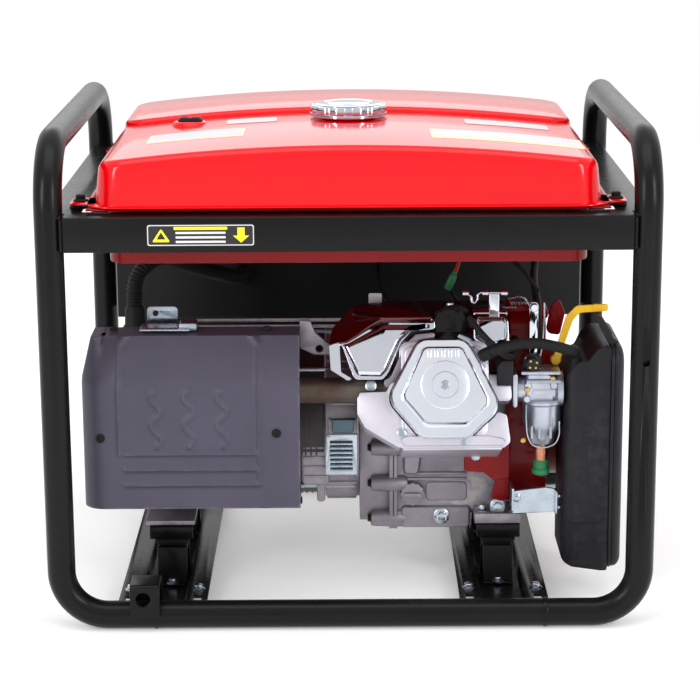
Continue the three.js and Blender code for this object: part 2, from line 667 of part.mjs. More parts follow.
function chokeLever() {
  const arm = outline([[238, 280], [248, 280], [252, 303], [262, 333], [270, 341], [303, 344], [303, 352],
    [265, 350], [254, 338], [244, 304]]);
  return joined(prismY(arm, -154, -151), rodY(6, -154, -147, 243, 285, 16));
}

function governorArm() {
  const arm = outline([[213, 288, 3], [222, 288, 3], [223, 352, 4], [212, 352, 4]], 2);
  return joined(prismY(arm, -140.5, -138), rodY(5, -146, -136, 217.5, 346, 12));
}

function throttleLever() {
  const { x, y, z } = intake;
  const top = z + 23 + gap;
  const arm = outline([[x + 14, y - 5, 3], [x + 36, y - 7, 5], [x + 36, y + 7, 5], [x + 14, y + 5, 3]], 2);
  return joined(prismZ(arm, top, top + 2.5), rodZ(4, top, top + 6, x + 28, y, 12));
}

function caseOutline(inset) {
  const { left, seam, bottom, top } = filterBox;
  return outline([[left + inset, bottom + 11 + inset], [297, bottom + inset], [seam + (inset ? 5 : 0), bottom + inset],
    [seam + (inset ? 5 : 0), top - inset], [288, top - inset], [279 + inset, 296], [275 + inset, 281 - inset],
    [251 + inset, 268 - inset]]);
}

function airCleanerCase() {
  const { rearY, frontY, deepY, deepZ, wall, left } = filterBox;
  const step = (inset) => box(200, 400, frontY - inset, 0, 0, deepZ + inset);
  const outer = cut(prismY(caseOutline(0), rearY, deepY), step(0));
  const inner = cut(prismY(caseOutline(wall), rearY + wall, deepY - wall), step(wall));
  const nipple = rodZ(6, 268, 280, 263, -176, 12);
  return cut(joined(cut(outer, inner), nipple), rodX(14, left - 5, left + 5, intake.y, intake.z, 16));
}

function airCleanerCover() {
  const { seam, right, rearY, frontY, deepY, deepZ, bottom, top } = filterBox;
  const face = outline([[rearY - 2, bottom + 3, 10], [frontY + 2, bottom + 3, 10], [frontY + 2, deepZ - 2],
    [deepY + 2, deepZ - 2, 8], [deepY + 2, top + 2, 8], [rearY - 2, top + 2, 10]], 3);
  return prismX(face, seam + gap, right);
}

function airCleanerClip() {
  const strap = outline([[300, 309.6], [313, 309.6], [314, 312], [308, 316], [292, 343], [285, 341]]);
  return prismY(strap, -176, -164);
}

function airCleanerBracket() {
  const plate = box(192, filterBox.left - gap, -166, -163, 100, 133);
  const tab = box(192, 195, -166, -132, 100, 133);
  return joined(plate, tab);
}

function buildIntake() {
  add("carburetor", carburetor(), finishes.castAluminium);
  add("fuel_solenoid", fuelSolenoid(), finishes.brushed);
  add("choke_lever", chokeLever(), finishes.yellow);
  add("governor_arm", governorArm(), finishes.zinc);
  add("throttle_lever", throttleLever(), finishes.zinc);
  add("air_cleaner_case", airCleanerCase(), finishes.plastic);
  add("air_cleaner_cover", airCleanerCover(), finishes.plastic);
  add("air_filter", box(268, 306, -178, -104, 60, 240), finishes.foam);
  add("air_cleaner_clip", airCleanerClip(), finishes.plastic);
  add("air_cleaner_bracket", airCleanerBracket(), finishes.zinc);
  const breatherRoute = [
    [153, -203, 303], [164, -210, 310], [188, -213, 318], [212, -213, 320], [238, -210, 315], [253, -202, 309],
    [261, -186, 304], [263, -176, 294], [263, -176, 280.3],
  ];
  add("breather_hose", hose(breatherRoute, 6.5, 20), finishes.rubber);
}

// ---- exhaust ----
function exhaustMuffler() {
  const { left, right, rearY, frontY, bottom, top } = muffler;
  const section = outline([[rearY, bottom, 20], [frontY, bottom, 20], [frontY, top, 20], [rearY + 22, top, 12],
    [rearY, top - 34, 12]], 3);
  return joined(
    prismX(section, left, right),
    rodX(exhaust.radius, right - 5, head.left - gap, exhaust.y, exhaust.z, 20),
    rodX(24, head.left - 8, head.left - gap, exhaust.y, exhaust.z, 20),
  );
}

function mufflerShield() {
  const { left, right, rearY, frontY, bottom, crease, top, facetY, corner, sheet } = shield;
  const plan = (inset, extra) => prismZ(outline([[right + extra, rearY + inset],
    [left + inset, rearY + inset, corner - inset], [left + inset, frontY + extra], [right + extra, frontY + extra]]),
    bottom - extra, top + 5);
  const profile = (inset, extra) => prismX(outline([[rearY + inset, bottom - extra],
    [rearY + inset, crease - inset / 2], [facetY + inset / 2, top - inset], [frontY + extra, top - inset],
    [frontY + extra, bottom - extra]]), left - 5, right + 5 + extra);
  const outer = common(plan(0, 0), profile(0, 0));
  const inner = common(plan(sheet, 20), profile(sheet, 20));
  return cut(outer, inner);
}

// ---- alternator ----
function endCover() {
  const { left, coverJoint, cover, shaft } = alternator;
  const wall = 4;
  const start = coverJoint - gap;
  const cup = cut(rodX(cover, left, start, crank.y, crank.z, 36),
    rodX(cover - wall, left + wall, start + 5, crank.y, crank.z, 36));
  const vents = [];
  for (let i = 0; i < 10; i++) {
    const slot = box(left - 5, left + wall + 3, -5, 5, 58, 92);
    vents.push(slot.rotateX((i * Math.PI) / 5).translate(0, crank.y, crank.z));
  }
  const lugBottom = isolator.saddleTop + gap;
  const foot = box(-245, -187, -141, 111, lugBottom, 85.3);
  const boss = rodX(26, left + 1, left + 22, crank.y, crank.z, 20);
  return cut(joined(cut(cup, ...vents), foot, boss),
    rodX(shaft + 0.4, left + 8, left + 40, crank.y, crank.z, 20));
}

function buildExhaustAndAlternator() {
  const { coverJoint, stator, adaptor, adaptorLeft, rotor, shaft, left } = alternator;
  add("muffler", exhaustMuffler(), finishes.steel);
  add("muffler_shield", mufflerShield(), finishes.shieldGrey);
  const adaptorRight = pto.left - gap;
  add("alternator_adaptor", cut(rodX(adaptor, adaptorLeft, adaptorRight, crank.y, crank.z, 36),
    rodX(adaptor - 6, adaptorLeft - 5, adaptorRight - 8, crank.y, crank.z, 36),
    rodX(30, adaptorLeft, adaptorRight + 5, crank.y, crank.z, 20)), finishes.castAluminium);
  add("stator", cut(rodX(stator, coverJoint, adaptorLeft - gap, crank.y, crank.z, 36),
    rodX(rotor + 3, coverJoint - 5, adaptorLeft + 5, crank.y, crank.z, 28)), finishes.castAluminium);
  add("alternator_end_cover", endCover(), finishes.castAluminium);
  add("rotor", joined(rodX(rotor, coverJoint + 10, adaptorLeft - 10, crank.y, crank.z, 28),
    rodX(shaft, left + 11, 20, crank.y, crank.z, 20)), finishes.steel);
}

// ---- control panel ----
function controlPanel() {
  const { halfLength, rearY, frontY, bottom, top, sheet } = panel;
  const shell = cut(box(-halfLength, halfLength, rearY, frontY, bottom, top),
    box(-halfLength + sheet, halfLength - sheet, rearY + sheet, frontY - sheet, bottom - 5, top - sheet));
  const parts = [shell];
  for (const x of socket.xs) {
    parts.push(rodY(25, frontY - 1, frontY + 2, x, socket.z, 24));
  }
  parts.push(box(150, 182, frontY - 1, frontY + 2, 330, 372));
  parts.push(box(-180, -156, frontY - 1, frontY + 2, 330, 366));
  return joined(...parts);
}

function socketLid(x) {
  const faceY = panel.frontY + 2 + gap;
  const half = socket.lidSize / 2;
  const lid = prismY(outline([[x - half, socket.z - half, 6], [x + half, socket.z - half, 6],
    [x + half, socket.z + half, 6], [x - half, socket.z + half, 6]], 3), faceY, faceY + 5);
  return joined(lid, rodX(3, x - half + 4, x + half - 4, faceY + 3.2, socket.z + half + 1, 10));
}

function buildControlPanel() {
  add("control_panel", controlPanel(), finishes.plastic);
  socket.xs.forEach((x, index) => add(`socket_lid_${index + 1}`, socketLid(x), finishes.plastic));
  const faceY = panel.frontY + 2 + gap;
  const rockerSide = outline([[faceY, 351], [faceY + 3, 334], [faceY + 9, 334], [faceY + 6, 351], [faceY + 9, 368],
    [faceY + 3, 368]]);
  add("engine_switch", prismX(rockerSide, 155, 177), finishes.plastic);
  const toggleSide = outline([[faceY + 1.5, 347], [faceY + 10, 346], [faceY + 10, 354], [faceY + 1.5, 353]]);
  add("breaker_toggle", prismX(toggleSide, -172, -164), finishes.plastic);
  const conduitRoute = [
    [-264, -15, 291.6], [-264, -15, 330], [-261, -12, 354], [-250, -2, 370], [-232, 25, 375], [-214, 80, 358],
    [-185, 128, 338], [-154, 164, 322], [-144, 184, 317], [-142, 194, 316], [-142, 204.6, 316],
  ];
  add("cable_conduit", hose(conduitRoute, 10, 26, 10), finishes.plastic);
}

buildFrame();
buildFuelSystem();
buildEngine();
buildIntake();
buildExhaustAndAlternator();
buildControlPanel();

export default generator;
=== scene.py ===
import json
import math

import bmesh
import bpy
from mathutils import Matrix, Vector


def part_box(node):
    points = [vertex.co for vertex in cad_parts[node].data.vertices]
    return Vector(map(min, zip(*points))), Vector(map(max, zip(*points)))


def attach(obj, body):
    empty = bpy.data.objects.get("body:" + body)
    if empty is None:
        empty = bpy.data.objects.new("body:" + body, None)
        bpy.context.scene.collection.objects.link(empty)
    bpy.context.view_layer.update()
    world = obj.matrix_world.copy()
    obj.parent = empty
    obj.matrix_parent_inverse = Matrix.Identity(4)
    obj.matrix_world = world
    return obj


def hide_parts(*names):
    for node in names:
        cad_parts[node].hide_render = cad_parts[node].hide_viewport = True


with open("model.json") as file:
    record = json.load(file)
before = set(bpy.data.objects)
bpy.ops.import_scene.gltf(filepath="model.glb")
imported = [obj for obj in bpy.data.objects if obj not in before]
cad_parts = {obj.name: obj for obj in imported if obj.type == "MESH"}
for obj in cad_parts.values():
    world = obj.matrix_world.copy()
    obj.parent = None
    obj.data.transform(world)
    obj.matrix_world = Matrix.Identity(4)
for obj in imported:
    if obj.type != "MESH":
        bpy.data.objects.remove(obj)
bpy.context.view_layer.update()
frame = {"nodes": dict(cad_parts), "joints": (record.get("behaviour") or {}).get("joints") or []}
mm = 0.001  # shapes below are given in millimetres
print("frame loaded")


# small modelling tools
def pick(obj):
    if bpy.context.object and bpy.context.object.mode != "OBJECT":
        bpy.ops.object.mode_set(mode="OBJECT")
    bpy.ops.object.select_all(action="DESELECT")
    obj.select_set(True)
    bpy.context.view_layer.objects.active = obj
    return obj


def settle(obj):  # puts the place, turn and scale into the mesh
    pick(obj)
    bpy.ops.object.transform_apply(location=True, rotation=True, scale=True)
    return obj


def modify(obj, kind, **settings):
    pick(obj)
    modifier = obj.modifiers.new(kind.lower(), kind)
    for key, value in settings.items():
        setattr(modifier, key, value)
    bpy.ops.object.modifier_apply(modifier=modifier.name)
    return obj


def edit(obj, part=None, test=None):  # enters edit mode with everything, or the parts that pass the test
    pick(obj)
    bpy.ops.object.mode_set(mode="EDIT")
    if test is None:
        bpy.ops.mesh.select_all(action="SELECT")
        return
    bpy.ops.mesh.select_mode(type={"edges": "EDGE", "faces": "FACE", "verts": "VERT"}[part])
    bpy.ops.mesh.select_all(action="DESELECT")
    mesh = bmesh.from_edit_mesh(obj.data)
    for item in getattr(mesh, part):
        item.select_set(test(item))
    bmesh.update_edit_mesh(obj.data)


def leave():
    bpy.ops.object.mode_set(mode="OBJECT")


crankAxis = Vector(next(j["pos_m"] for j in frame["joints"] if j["name"] == "crankshaft_spin")) / mm
outAxis = Vector(next(j["axis"] for j in frame["joints"] if j["name"] == "piston_stroke"))
bankUp = Vector((1, 0, 0)).cross(outAxis) * -1  # across the inclined cylinder
sides = {  # which way a side's own x and y run, and where it is measured from
    "near": ((1, 0, 0), (0, 0, 1), (0, 0, 0)), "far": ((-1, 0, 0), (0, 0, 1), (0, 0, 0)),
    "right": ((0, 1, 0), (0, 0, 1), (0, 0, 0)), "left": ((0, -1, 0), (0, 0, 1), (0, 0, 0)),
    "top": ((1, 0, 0), (0, 1, 0), (0, 0, 0)), "bank": ((1, 0, 0), bankUp, (0, *crankAxis[1:])),
}


def clean(obj, distance=1e-5):
    edit(obj)
    bpy.ops.mesh.remove_doubles(threshold=distance)
    bpy.ops.mesh.normals_make_consistent(inside=False)
    leave()
    return obj


def smooth(obj, angle=32):
    pick(obj)
    bpy.ops.object.shade_smooth_by_angle(angle=math.radians(angle))
    return obj


def soften(obj, width=1.2, segments=2, angle=30):  # rounds the sharp edges
    modify(obj, "BEVEL", width=width * mm, segments=segments, limit_method="ANGLE",
            angle_limit=math.radians(angle), use_clamp_overlap=True)
    return smooth(obj)


def join(name, pieces):
    pick(pieces[0])
    for piece in pieces[1:]:
        piece.select_set(True)
    if len(pieces) > 1:
        bpy.ops.object.join()
    pieces[0].name = name
    return pieces[0]


def carve(obj, cutter, operation="DIFFERENCE"):
    modify(obj, "BOOLEAN", object=cutter, operation=operation, solver="EXACT")
    bpy.data.objects.remove(cutter)
    return obj


def block(name, low, high, rim=1.0, segments=2):
    low, high = Vector(low) * mm, Vector(high) * mm
    bpy.ops.mesh.primitive_cube_add(size=1, location=(low + high) / 2, scale=high - low)
    obj = settle(bpy.context.object)
    obj.name = name
    return soften(obj, rim, segments) if rim else obj


def fillet(corners, arcSteps=8, closed=True):  # a corner's last number is its radius
    points = []
    size = len(corners[0]) - 1
    count = len(corners)
    for i, corner in enumerate(corners):
        here, radius = Vector(corner[:size]), corner[size]
        if radius == 0 or (not closed and i in (0, count - 1)):
            points.append(here)
            continue
        before = here - Vector(corners[i - 1][:size])
        after = Vector(corners[(i + 1) % count][:size]) - here
        room = 0.49 * min(before.length, after.length)
        before.normalize()
        after.normalize()
        turn = before.angle(after)
        radius = min(radius, room / max(math.tan(turn / 2), 1e-6))
        inward = (after - before * before.dot(after)).normalized()
        start = here - before * radius * math.tan(turn / 2)
        for step in range(arcSteps + 1):
            angle = turn * step / arcSteps
            points.append(start + before * radius * math.sin(angle)
                    + inward * radius * (1 - math.cos(angle)))
    return points


def shrunk(corners, inset):  # the outline with every edge moved in, its corner radii following
    flat = [Vector(corner[:2]) for corner in corners]
    area = sum(a.cross(b) for a, b in zip(flat, flat[1:] + flat[:1]))
    turnWay = 1 if area > 0 else -1
    result = []
    for i, here in enumerate(flat):
        before = (here - flat[i - 1]).normalized()
        after = (flat[(i + 1) % len(flat)] - here).normalized()
        first = Vector((-before.y, before.x)) * turnWay
        second = Vector((-after.y, after.x)) * turnWay
        place = here + (first + second) * inset / (1 + first.dot(second))
        convex = before.cross(after) * turnWay > 0
        radius = corners[i][2]
        if radius:
            radius = max(radius - inset, 0.3) if convex else radius + inset
        result.append((place.x, place.y, radius))
    return result


def toward(at, across, up):  # a flat outline's place: its own x, its own y, and the way it thickens
    across, up = Vector(across).normalized(), Vector(up).normalized()
    turn = Matrix((across, up, across.cross(up))).transposed().to_4x4()
    return Matrix.Translation(Vector(at) * mm) @ turn


def onSide(side, depth, x=0.0, y=0.0):  # a plane this far out on a side, with its own x and y
    across, up, middle = sides[side]
    outward = Vector(across).cross(Vector(up))
    return toward(Vector(middle) + Vector(across) * x + Vector(up) * y + outward * depth, across, up)


def curveObject(name, loops, closed, curved=False):
    curve = bpy.data.curves.new(name, "CURVE")
    for points in loops:
        spline = curve.splines.new("BEZIER" if curved else "POLY")
        knots = spline.bezier_points if curved else spline.points
        knots.add(len(points) - 1)
        for knot, point in zip(knots, points):
            place = Vector((*point, 0)) * mm if len(point) == 2 else Vector(point) * mm
            knot.co = place if curved else (*place, 1)
            if curved:
                knot.handle_left_type = knot.handle_right_type = "AUTO"
        spline.use_cyclic_u = closed
    obj = bpy.data.objects.new(name, curve)
    bpy.context.scene.collection.objects.link(obj)
    return obj


def toMesh(obj, place=None):
    pick(obj)
    bpy.ops.object.convert(target="MESH")
    obj = bpy.context.object
    if place is not None:
        obj.matrix_world = place
    return clean(settle(obj))


def stack(name, corners, levels, place, arcSteps=6):  # the outline at several levels of (height, inset)
    rings = [fillet(shrunk(corners, inset), arcSteps) for height, inset in levels]
    obj = curveObject(name, [rings[0]], closed=True)
    pick(obj)
    bpy.ops.object.convert(target="MESH")
    obj = bpy.context.object
    edit(obj)
    bpy.ops.transform.translate(value=(0, 0, levels[0][0] * mm))
    bpy.ops.mesh.edge_face_add()
    for lower, upper, (height, inset) in zip(rings, rings[1:], levels[1:]):
        bpy.ops.mesh.extrude_region_move()
        mesh = bmesh.from_edit_mesh(obj.data)
        for vertex in mesh.verts:
            if vertex.select:
                spot = vertex.co.xy / mm
                nearest = min(range(len(lower)), key=lambda k: (lower[k] - spot).length_squared)
                vertex.co = Vector((*upper[nearest], height)) * mm
        bmesh.update_edit_mesh(obj.data)
    leave()
    obj.matrix_world = place
    return smooth(clean(settle(obj), 1e-6), 35)


def plate(name, corners, thickness, place, rim=0.0, holes=(), arcSteps=8):
    if rim and not holes:
        low, high = rim * 0.3, thickness - rim * 0.3
        levels = [(0, rim), (low, rim * 0.3), (rim, 0), (thickness - rim, 0), (high, rim * 0.3),
                (thickness, rim)]
        return stack(name, corners, levels, place, arcSteps)
    obj = curveObject(name, [fillet(loop, arcSteps) for loop in (corners, *holes)], closed=True)
    obj.data.dimensions = "2D"
    obj.data.fill_mode = "BOTH"
    obj.data.extrude = thickness / 2 * mm
    obj = toMesh(obj, place @ Matrix.Translation((0, 0, thickness / 2 * mm)))
    if rim:
        modify(obj, "BEVEL", width=min(rim, 0.6) * mm, segments=2, limit_method="ANGLE",
                angle_limit=math.radians(50), use_clamp_overlap=False)
    return smooth(obj)


def circle(radius, x=0.0, y=0.0, corners=32):
    angles = [2 * math.pi * i / corners for i in range(corners)]
    return [(x + radius * math.cos(a), y + radius * math.sin(a), 0) for a in angles]


def rectangle(x0, x1, y0, y1, radius=0.0):
    return [(x0, y0, radius), (x1, y0, radius), (x1, y1, radius), (x0, y1, radius)]


def tube(name, points, radius, sides=12, curved=False, resolution=8):
    obj = curveObject(name, [points], closed=False, curved=curved)
    obj.data.dimensions = "3D"
    obj.data.bevel_depth = radius * mm
    obj.data.bevel_resolution = max(sides // 4 - 1, 1)
    obj.data.resolution_u = resolution
    obj.data.use_fill_caps = True
    return smooth(toMesh(obj), 40)


def turned(name, profile, place, steps=48):  # profile of (radius, height), turned about the place's z
    obj = curveObject(name, [[(radius, 0, height) for radius, height in profile]], closed=False)
    obj.data.dimensions = "3D"
    pick(obj)
    bpy.ops.object.convert(target="MESH")
    obj = bpy.context.object
    modify(obj, "SCREW", angle=2 * math.pi, steps=steps, render_steps=steps, use_merge_vertices=True,
            merge_threshold=1e-5)
    obj.matrix_world = place
    return smooth(clean(settle(obj)))


def copyOf(obj, place):
    twin = obj.copy()
    twin.data = obj.data.copy()
    bpy.context.scene.collection.objects.link(twin)
    twin.matrix_world = place
    return settle(twin)


def refined(node, width=1.2, segments=2, angle=25):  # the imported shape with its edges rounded
    twin = frame["nodes"][node].copy()
    twin.data = twin.data.copy()
    twin.parent = None
    for key in list(twin.keys()):
        if key.startswith("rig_"):
            del twin[key]
    twin.name = node + "_finished"
    bpy.context.scene.collection.objects.link(twin)
    edit(twin)
    bpy.ops.mesh.remove_doubles(threshold=1e-5)
    bpy.ops.mesh.dissolve_limited(angle_limit=math.radians(0.5))
    leave()
    return soften(twin, width, segments, angle)


def wear(obj, finish):
    obj.data.materials.clear()
    obj.data.materials.append(finishes[finish])


# its finish, its body and the nodes it stands for
def give(obj, finish, body="root", replaces=()):
    wear(obj, finish)
    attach(obj, body)
    if replaces:
        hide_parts(*replaces)
    return obj


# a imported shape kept, its edges rounded
def refit(node, finish, width=1.2, segments=2, angle=25, body="root"):
    give(refined(node, width, segments, angle), finish, body, (node,))


# shader tools
class Wire:  # a socket that takes part in plain arithmetic
    def __init__(self, look, socket):
        self.look, self.socket = look, socket

    def math(self, operation, first, second=0.0, clamp=False):
        settings = {"operation": operation, "use_clamp": clamp}
        return self.look.node("ShaderNodeMath", settings, {0: first, 1: second})

    def __add__(self, other):
        return self.math("ADD", self, other)

    def __sub__(self, other):
        return self.math("SUBTRACT", self, other)

    def __rsub__(self, other):
        return self.math("SUBTRACT", other, self)

    def __mul__(self, other):
        return self.math("MULTIPLY", self, other)

    def __truediv__(self, other):
        return self.math("DIVIDE", self, other)

    def clamped(self):
        return self.math("MULTIPLY", self, 1.0, clamp=True)

    def above(self, edge, width=0.05):  # 0 below the edge, 1 above it
        return ((self - (edge - width)) / (2 * width)).clamped()

    __radd__, __rmul__ = __add__, __mul__


class Look:  # one material and its shader
    def __init__(self, name):
        self.material = bpy.data.materials.new(name)
        self.material.use_nodes = True
        self.tree = self.material.node_tree
        self.shader = self.tree.nodes["Principled BSDF"]

    def node(self, kind, settings=None, inputs=None, output=0):
        node = self.tree.nodes.new(kind)
        for key, value in (settings or {}).items():
            setattr(node, key, value)
        for key, value in (inputs or {}).items():
            self.put(node.inputs[key], value)
        return Wire(self, node.outputs[output])

    def put(self, socket, value):
        if isinstance(value, Wire):
            self.tree.links.new(value.socket, socket)
        else:
            socket.default_value = value

    def set(self, **values):
        for key, value in values.items():
            self.put(self.shader.inputs[key.replace("_", " ")], value)

    def place(self, scale=(1, 1, 1), turn=(0, 0, 0)):
        spot = self.node("ShaderNodeTexCoord", output=3)
        return self.node("ShaderNodeMapping", inputs={"Vector": spot, "Scale": scale, "Rotation": turn})

    def noise(self, scale, detail=3, roughness=0.5, stretch=(1, 1, 1), turn=(0, 0, 0)):
        return self.node("ShaderNodeTexNoise", inputs={"Vector": self.place(stretch, turn), "Scale": scale,
                "Detail": detail, "Roughness": roughness})

    def mix(self, factor, first, second):
        return self.node("ShaderNodeMix", {"data_type": "RGBA"}, {0: factor, 6: first, 7: second}, output=2)

    def bump(self, height, distance, strength=1.0, normal=None):
        inputs = {"Height": height, "Distance": distance, "Strength": strength}
        if normal is not None:
            inputs["Normal"] = normal
        return self.node("ShaderNodeBump", inputs=inputs)


def rgb(code):  # a display colour as linear light
    parts = [int(code[i:i + 2], 16) / 255 for i in (0, 2, 4)]
    return (*[p / 12.92 if p <= 0.04045 else ((p + 0.055) / 1.055) ** 2.4 for p in parts], 1.0)


def upward(look):  # how much the surface faces up, for settled dust
    normal = look.node("ShaderNodeNewGeometry", output=1)
    height = look.node("ShaderNodeSeparateXYZ", inputs={0: normal}, output=2)
    return height.above(0.6, 0.3)


def surface(name, color, second=None, rough=0.4, spread=0.08, metal=0.0, grain=900, depth=0.00004, mottle=9,
            streak=None, dust=0.0, edge=None, coat=0.0, scuffs=0.0, wave=0.0, gloss=0.5):
    look = Look(name)
    fine = look.noise(grain, 2)
    broad = look.noise(mottle, 4, 0.6)
    paint = look.mix(broad.above(0.5, 0.18), rgb(color), rgb(second or color))
    roughness = rough + (broad - 0.5) * spread * 2 + (fine - 0.5) * spread
    height = fine
    if streak:
        brushed = look.noise(streak[0], 4, 0.65, streak[1])
        roughness = roughness + (brushed - 0.5) * spread * 3
        height = fine * 0.3 + brushed
    if scuffs:
        scratches = look.noise(60, 5, 0.7, (1, 14, 3), (0.3, 0.5, 0.8)).above(0.66, 0.02)
        roughness = roughness + scratches * look.noise(14, 2).above(0.56, 0.1) * scuffs
    if edge:
        edges = look.node("ShaderNodeNewGeometry", output=7).above(0.56, 0.03)
        worn = edges * look.noise(70, 4, 0.7).above(0.52, 0.08)
        paint = look.mix(worn * 0.6, paint, rgb(edge))
    if dust:
        settled = upward(look) * look.noise(35, 5, 0.7).above(0.5, 0.25) * dust
        paint = look.mix(settled, paint, rgb("a39c90"))
        roughness = roughness + settled * 0.4
    normal = look.bump(height, depth)
    if wave:
        normal = look.bump(look.noise(11, 1), wave, 1.0, normal)
    look.set(Base_Color=paint, Roughness=roughness.clamped(), Metallic=metal, Normal=normal,
            Coat_Weight=coat)
    look.shader.inputs["Coat Roughness"].default_value = 0.06
    look.shader.inputs["Specular IOR Level"].default_value = gloss
    return look.material


finishes = {
    "powderBlack": surface("powder_black", "09090b", "0c0c0f", 0.27, 0.06, grain=1400, depth=0.00006,
            mottle=14, dust=0.01, scuffs=0.03, gloss=0.2),
    "tankRed": surface("tank_red", "e4020f", "dc020e", 0.2, 0.03, grain=2600, depth=0.000004, mottle=5,
            coat=0.45, wave=0.0002, gloss=0.15),
    # a darker copy of the tank red: painted shade for the lower pan under the tank flange
    "panRed": surface("pan_red", "86040a", "760309", 0.3, 0.06, grain=1600, depth=0.00002, coat=0.12,
            gloss=0.15),
    "engineRed": surface("engine_red", "84040a", "6c0308", 0.34, 0.08, grain=1100, depth=0.00005, coat=0.12,
            edge="8c1c1e", scuffs=0.1, gloss=0.14),
    "castAluminium": surface("cast_aluminium", "9a949e", "89838c", 0.46, 0.1, 0.65, grain=650,
            depth=0.00022,
            mottle=22, dust=0.05, edge="b5afab"),
    "blastedAluminium": surface("blasted_aluminium", "d6d3dd", "c6c3ce", 0.4, 0.1, 0.75, grain=900,
            depth=0.00012, mottle=18),
    "brushedCover": surface("brushed_cover", "eef2fa", "e2e6ef", 0.22, 0.06, 1.0, grain=1200, depth=0.00003,
            streak=(120, (1, 1, 24)), scuffs=0.1),
    "chrome": surface("chrome_plate", "d9dbe2", "c8ccd8", 0.07, 0.04, 1.0, grain=900, depth=0.000006,
            wave=0.0007, scuffs=0.15),
    "shieldGrey": surface("shield_grey", "464253", "403c4c", 0.5, 0.07, 0.15, grain=1500, depth=0.00008,
            mottle=12, dust=0.05, edge="77737e"),
    "zinc": surface("zinc_plate", "b9c3cf", "a9b2bb", 0.27, 0.12, 1.0, grain=500, depth=0.00003, mottle=40),
    "carbAlloy": surface("carb_alloy", "bcc1cd", "a3a8b4", 0.33, 0.12, 0.95, grain=1100, depth=0.00005,
            mottle=30),
    "blackPlastic": surface("black_plastic", "18161b", "131216", 0.44, 0.06, grain=2200, depth=0.00009,
            mottle=20, dust=0.04, edge="2e2c32", gloss=0.3),
    "softBlack": surface("soft_black", "0e0d10", "131215", 0.6, 0.1, grain=1000, depth=0.00007, mottle=30,
            dust=0.05, gloss=0.25),
    "panelBlack": surface("panel_black", "0d0c10", "111014", 0.5, 0.08, grain=1500, depth=0.00008,
            mottle=10,
            gloss=0.25),
    "steel": surface("machined_steel", "8b8c90", "77787c", 0.34, 0.12, 1.0, grain=600, depth=0.00005,
            mottle=25, streak=(200, (1, 20, 20))),
    "mufflerSteel": surface("muffler_steel", "6f6a66", "5a4a40", 0.5, 0.15, 0.9, grain=500, depth=0.0001,
            mottle=16),
    "copper": surface("copper_sleeve", "c98a6c", "b97a5e", 0.3, 0.1, 1.0, grain=900, depth=0.00003,
            mottle=60),
    "brass": surface("brass_screw", "d9b067", "c89c55", 0.28, 0.1, 1.0, grain=900, depth=0.00003,
            mottle=60),
    "green": surface("green_cap", "157a48", "0f6b3d", 0.4, 0.08, grain=1500, depth=0.00006, mottle=60),
    "yellow": surface("choke_yellow", "f4bf16", "edb60f", 0.38, 0.08, grain=1700, depth=0.00006, mottle=40),
    "decalYellow": surface("decal_yellow", "f2e21e", "ecd917", 0.35, 0.05, grain=900, depth=0.00001),
    "decalBlack": surface("decal_black", "1a171b", "1f1c20", 0.3, 0.05, grain=900, depth=0.00001),
    "decalWhite": surface("decal_white", "dfdcdc", "d6d3d3", 0.4, 0.05, grain=900, depth=0.00001),
    "red": surface("lead_red", "c22a12", "b0240e", 0.45, 0.05, grain=1500, depth=0.00004),
    "foam": surface("filter_foam", "45463c", "3a3b32", 0.95, 0.03, grain=420, depth=0.0012, mottle=40),
    "windowPale": surface("gauge_window", "c9c6bb", "bdb9ad", 0.12, 0.03, grain=900, depth=0.00001,
            coat=1.0),
    "copperWire": surface("copper_winding", "a85a34", "8f4826", 0.35, 0.1, 1.0, grain=500, depth=0.0002,
            streak=(400, (1, 30, 30))),
    "labelSilver": surface("label_silver", "d2cfd2", "c6c2c6", 0.35, 0.05, 0.3, depth=0.00001),
    "labelGrey": surface("label_grey", "d9d6d9", "cfccd0", 0.35, 0.05, 0.2, depth=0.00001),
    "labelCream": surface("label_cream", "efe6b0", "e9df9f", 0.35, 0.05, depth=0.00001),
    # chrome sheet for the head's roof, tinted dark red: a painted reflection of the red tank above it
    "shroudRed": surface("shroud_red", "5a0a12", "47070d", 0.16, 0.06, 0.6, grain=1500, depth=0.00002,
            coat=0.8, wave=0.0004),
    "statorGrey": surface("stator_laminations", "4d4a4c", "403d40", 0.5, 0.1, 0.6, grain=700, depth=0.0001,
            streak=(300, (20, 1, 1))),
    "windowBlue": surface("terminal_window", "5b7480", "4c6571", 0.3, 0.08, 0.3, grain=1400, depth=0.00003),
    "panelGrey": surface("panel_inlay", "2b2c31", "303136", 0.42, 0.05, grain=1600, depth=0.00004),
}
print("finishes made")


# camera, light and floor
studio = {
    "cameraAt": (-0.00226, -2.6497, 0.9108), "pitch": 13.777, "roll": -0.32, "yaw": -0.075, "lens": 112.64,
    "sky": 0.85, "floorColor": "f6f6f6", "floorGlow": 0.2,
}


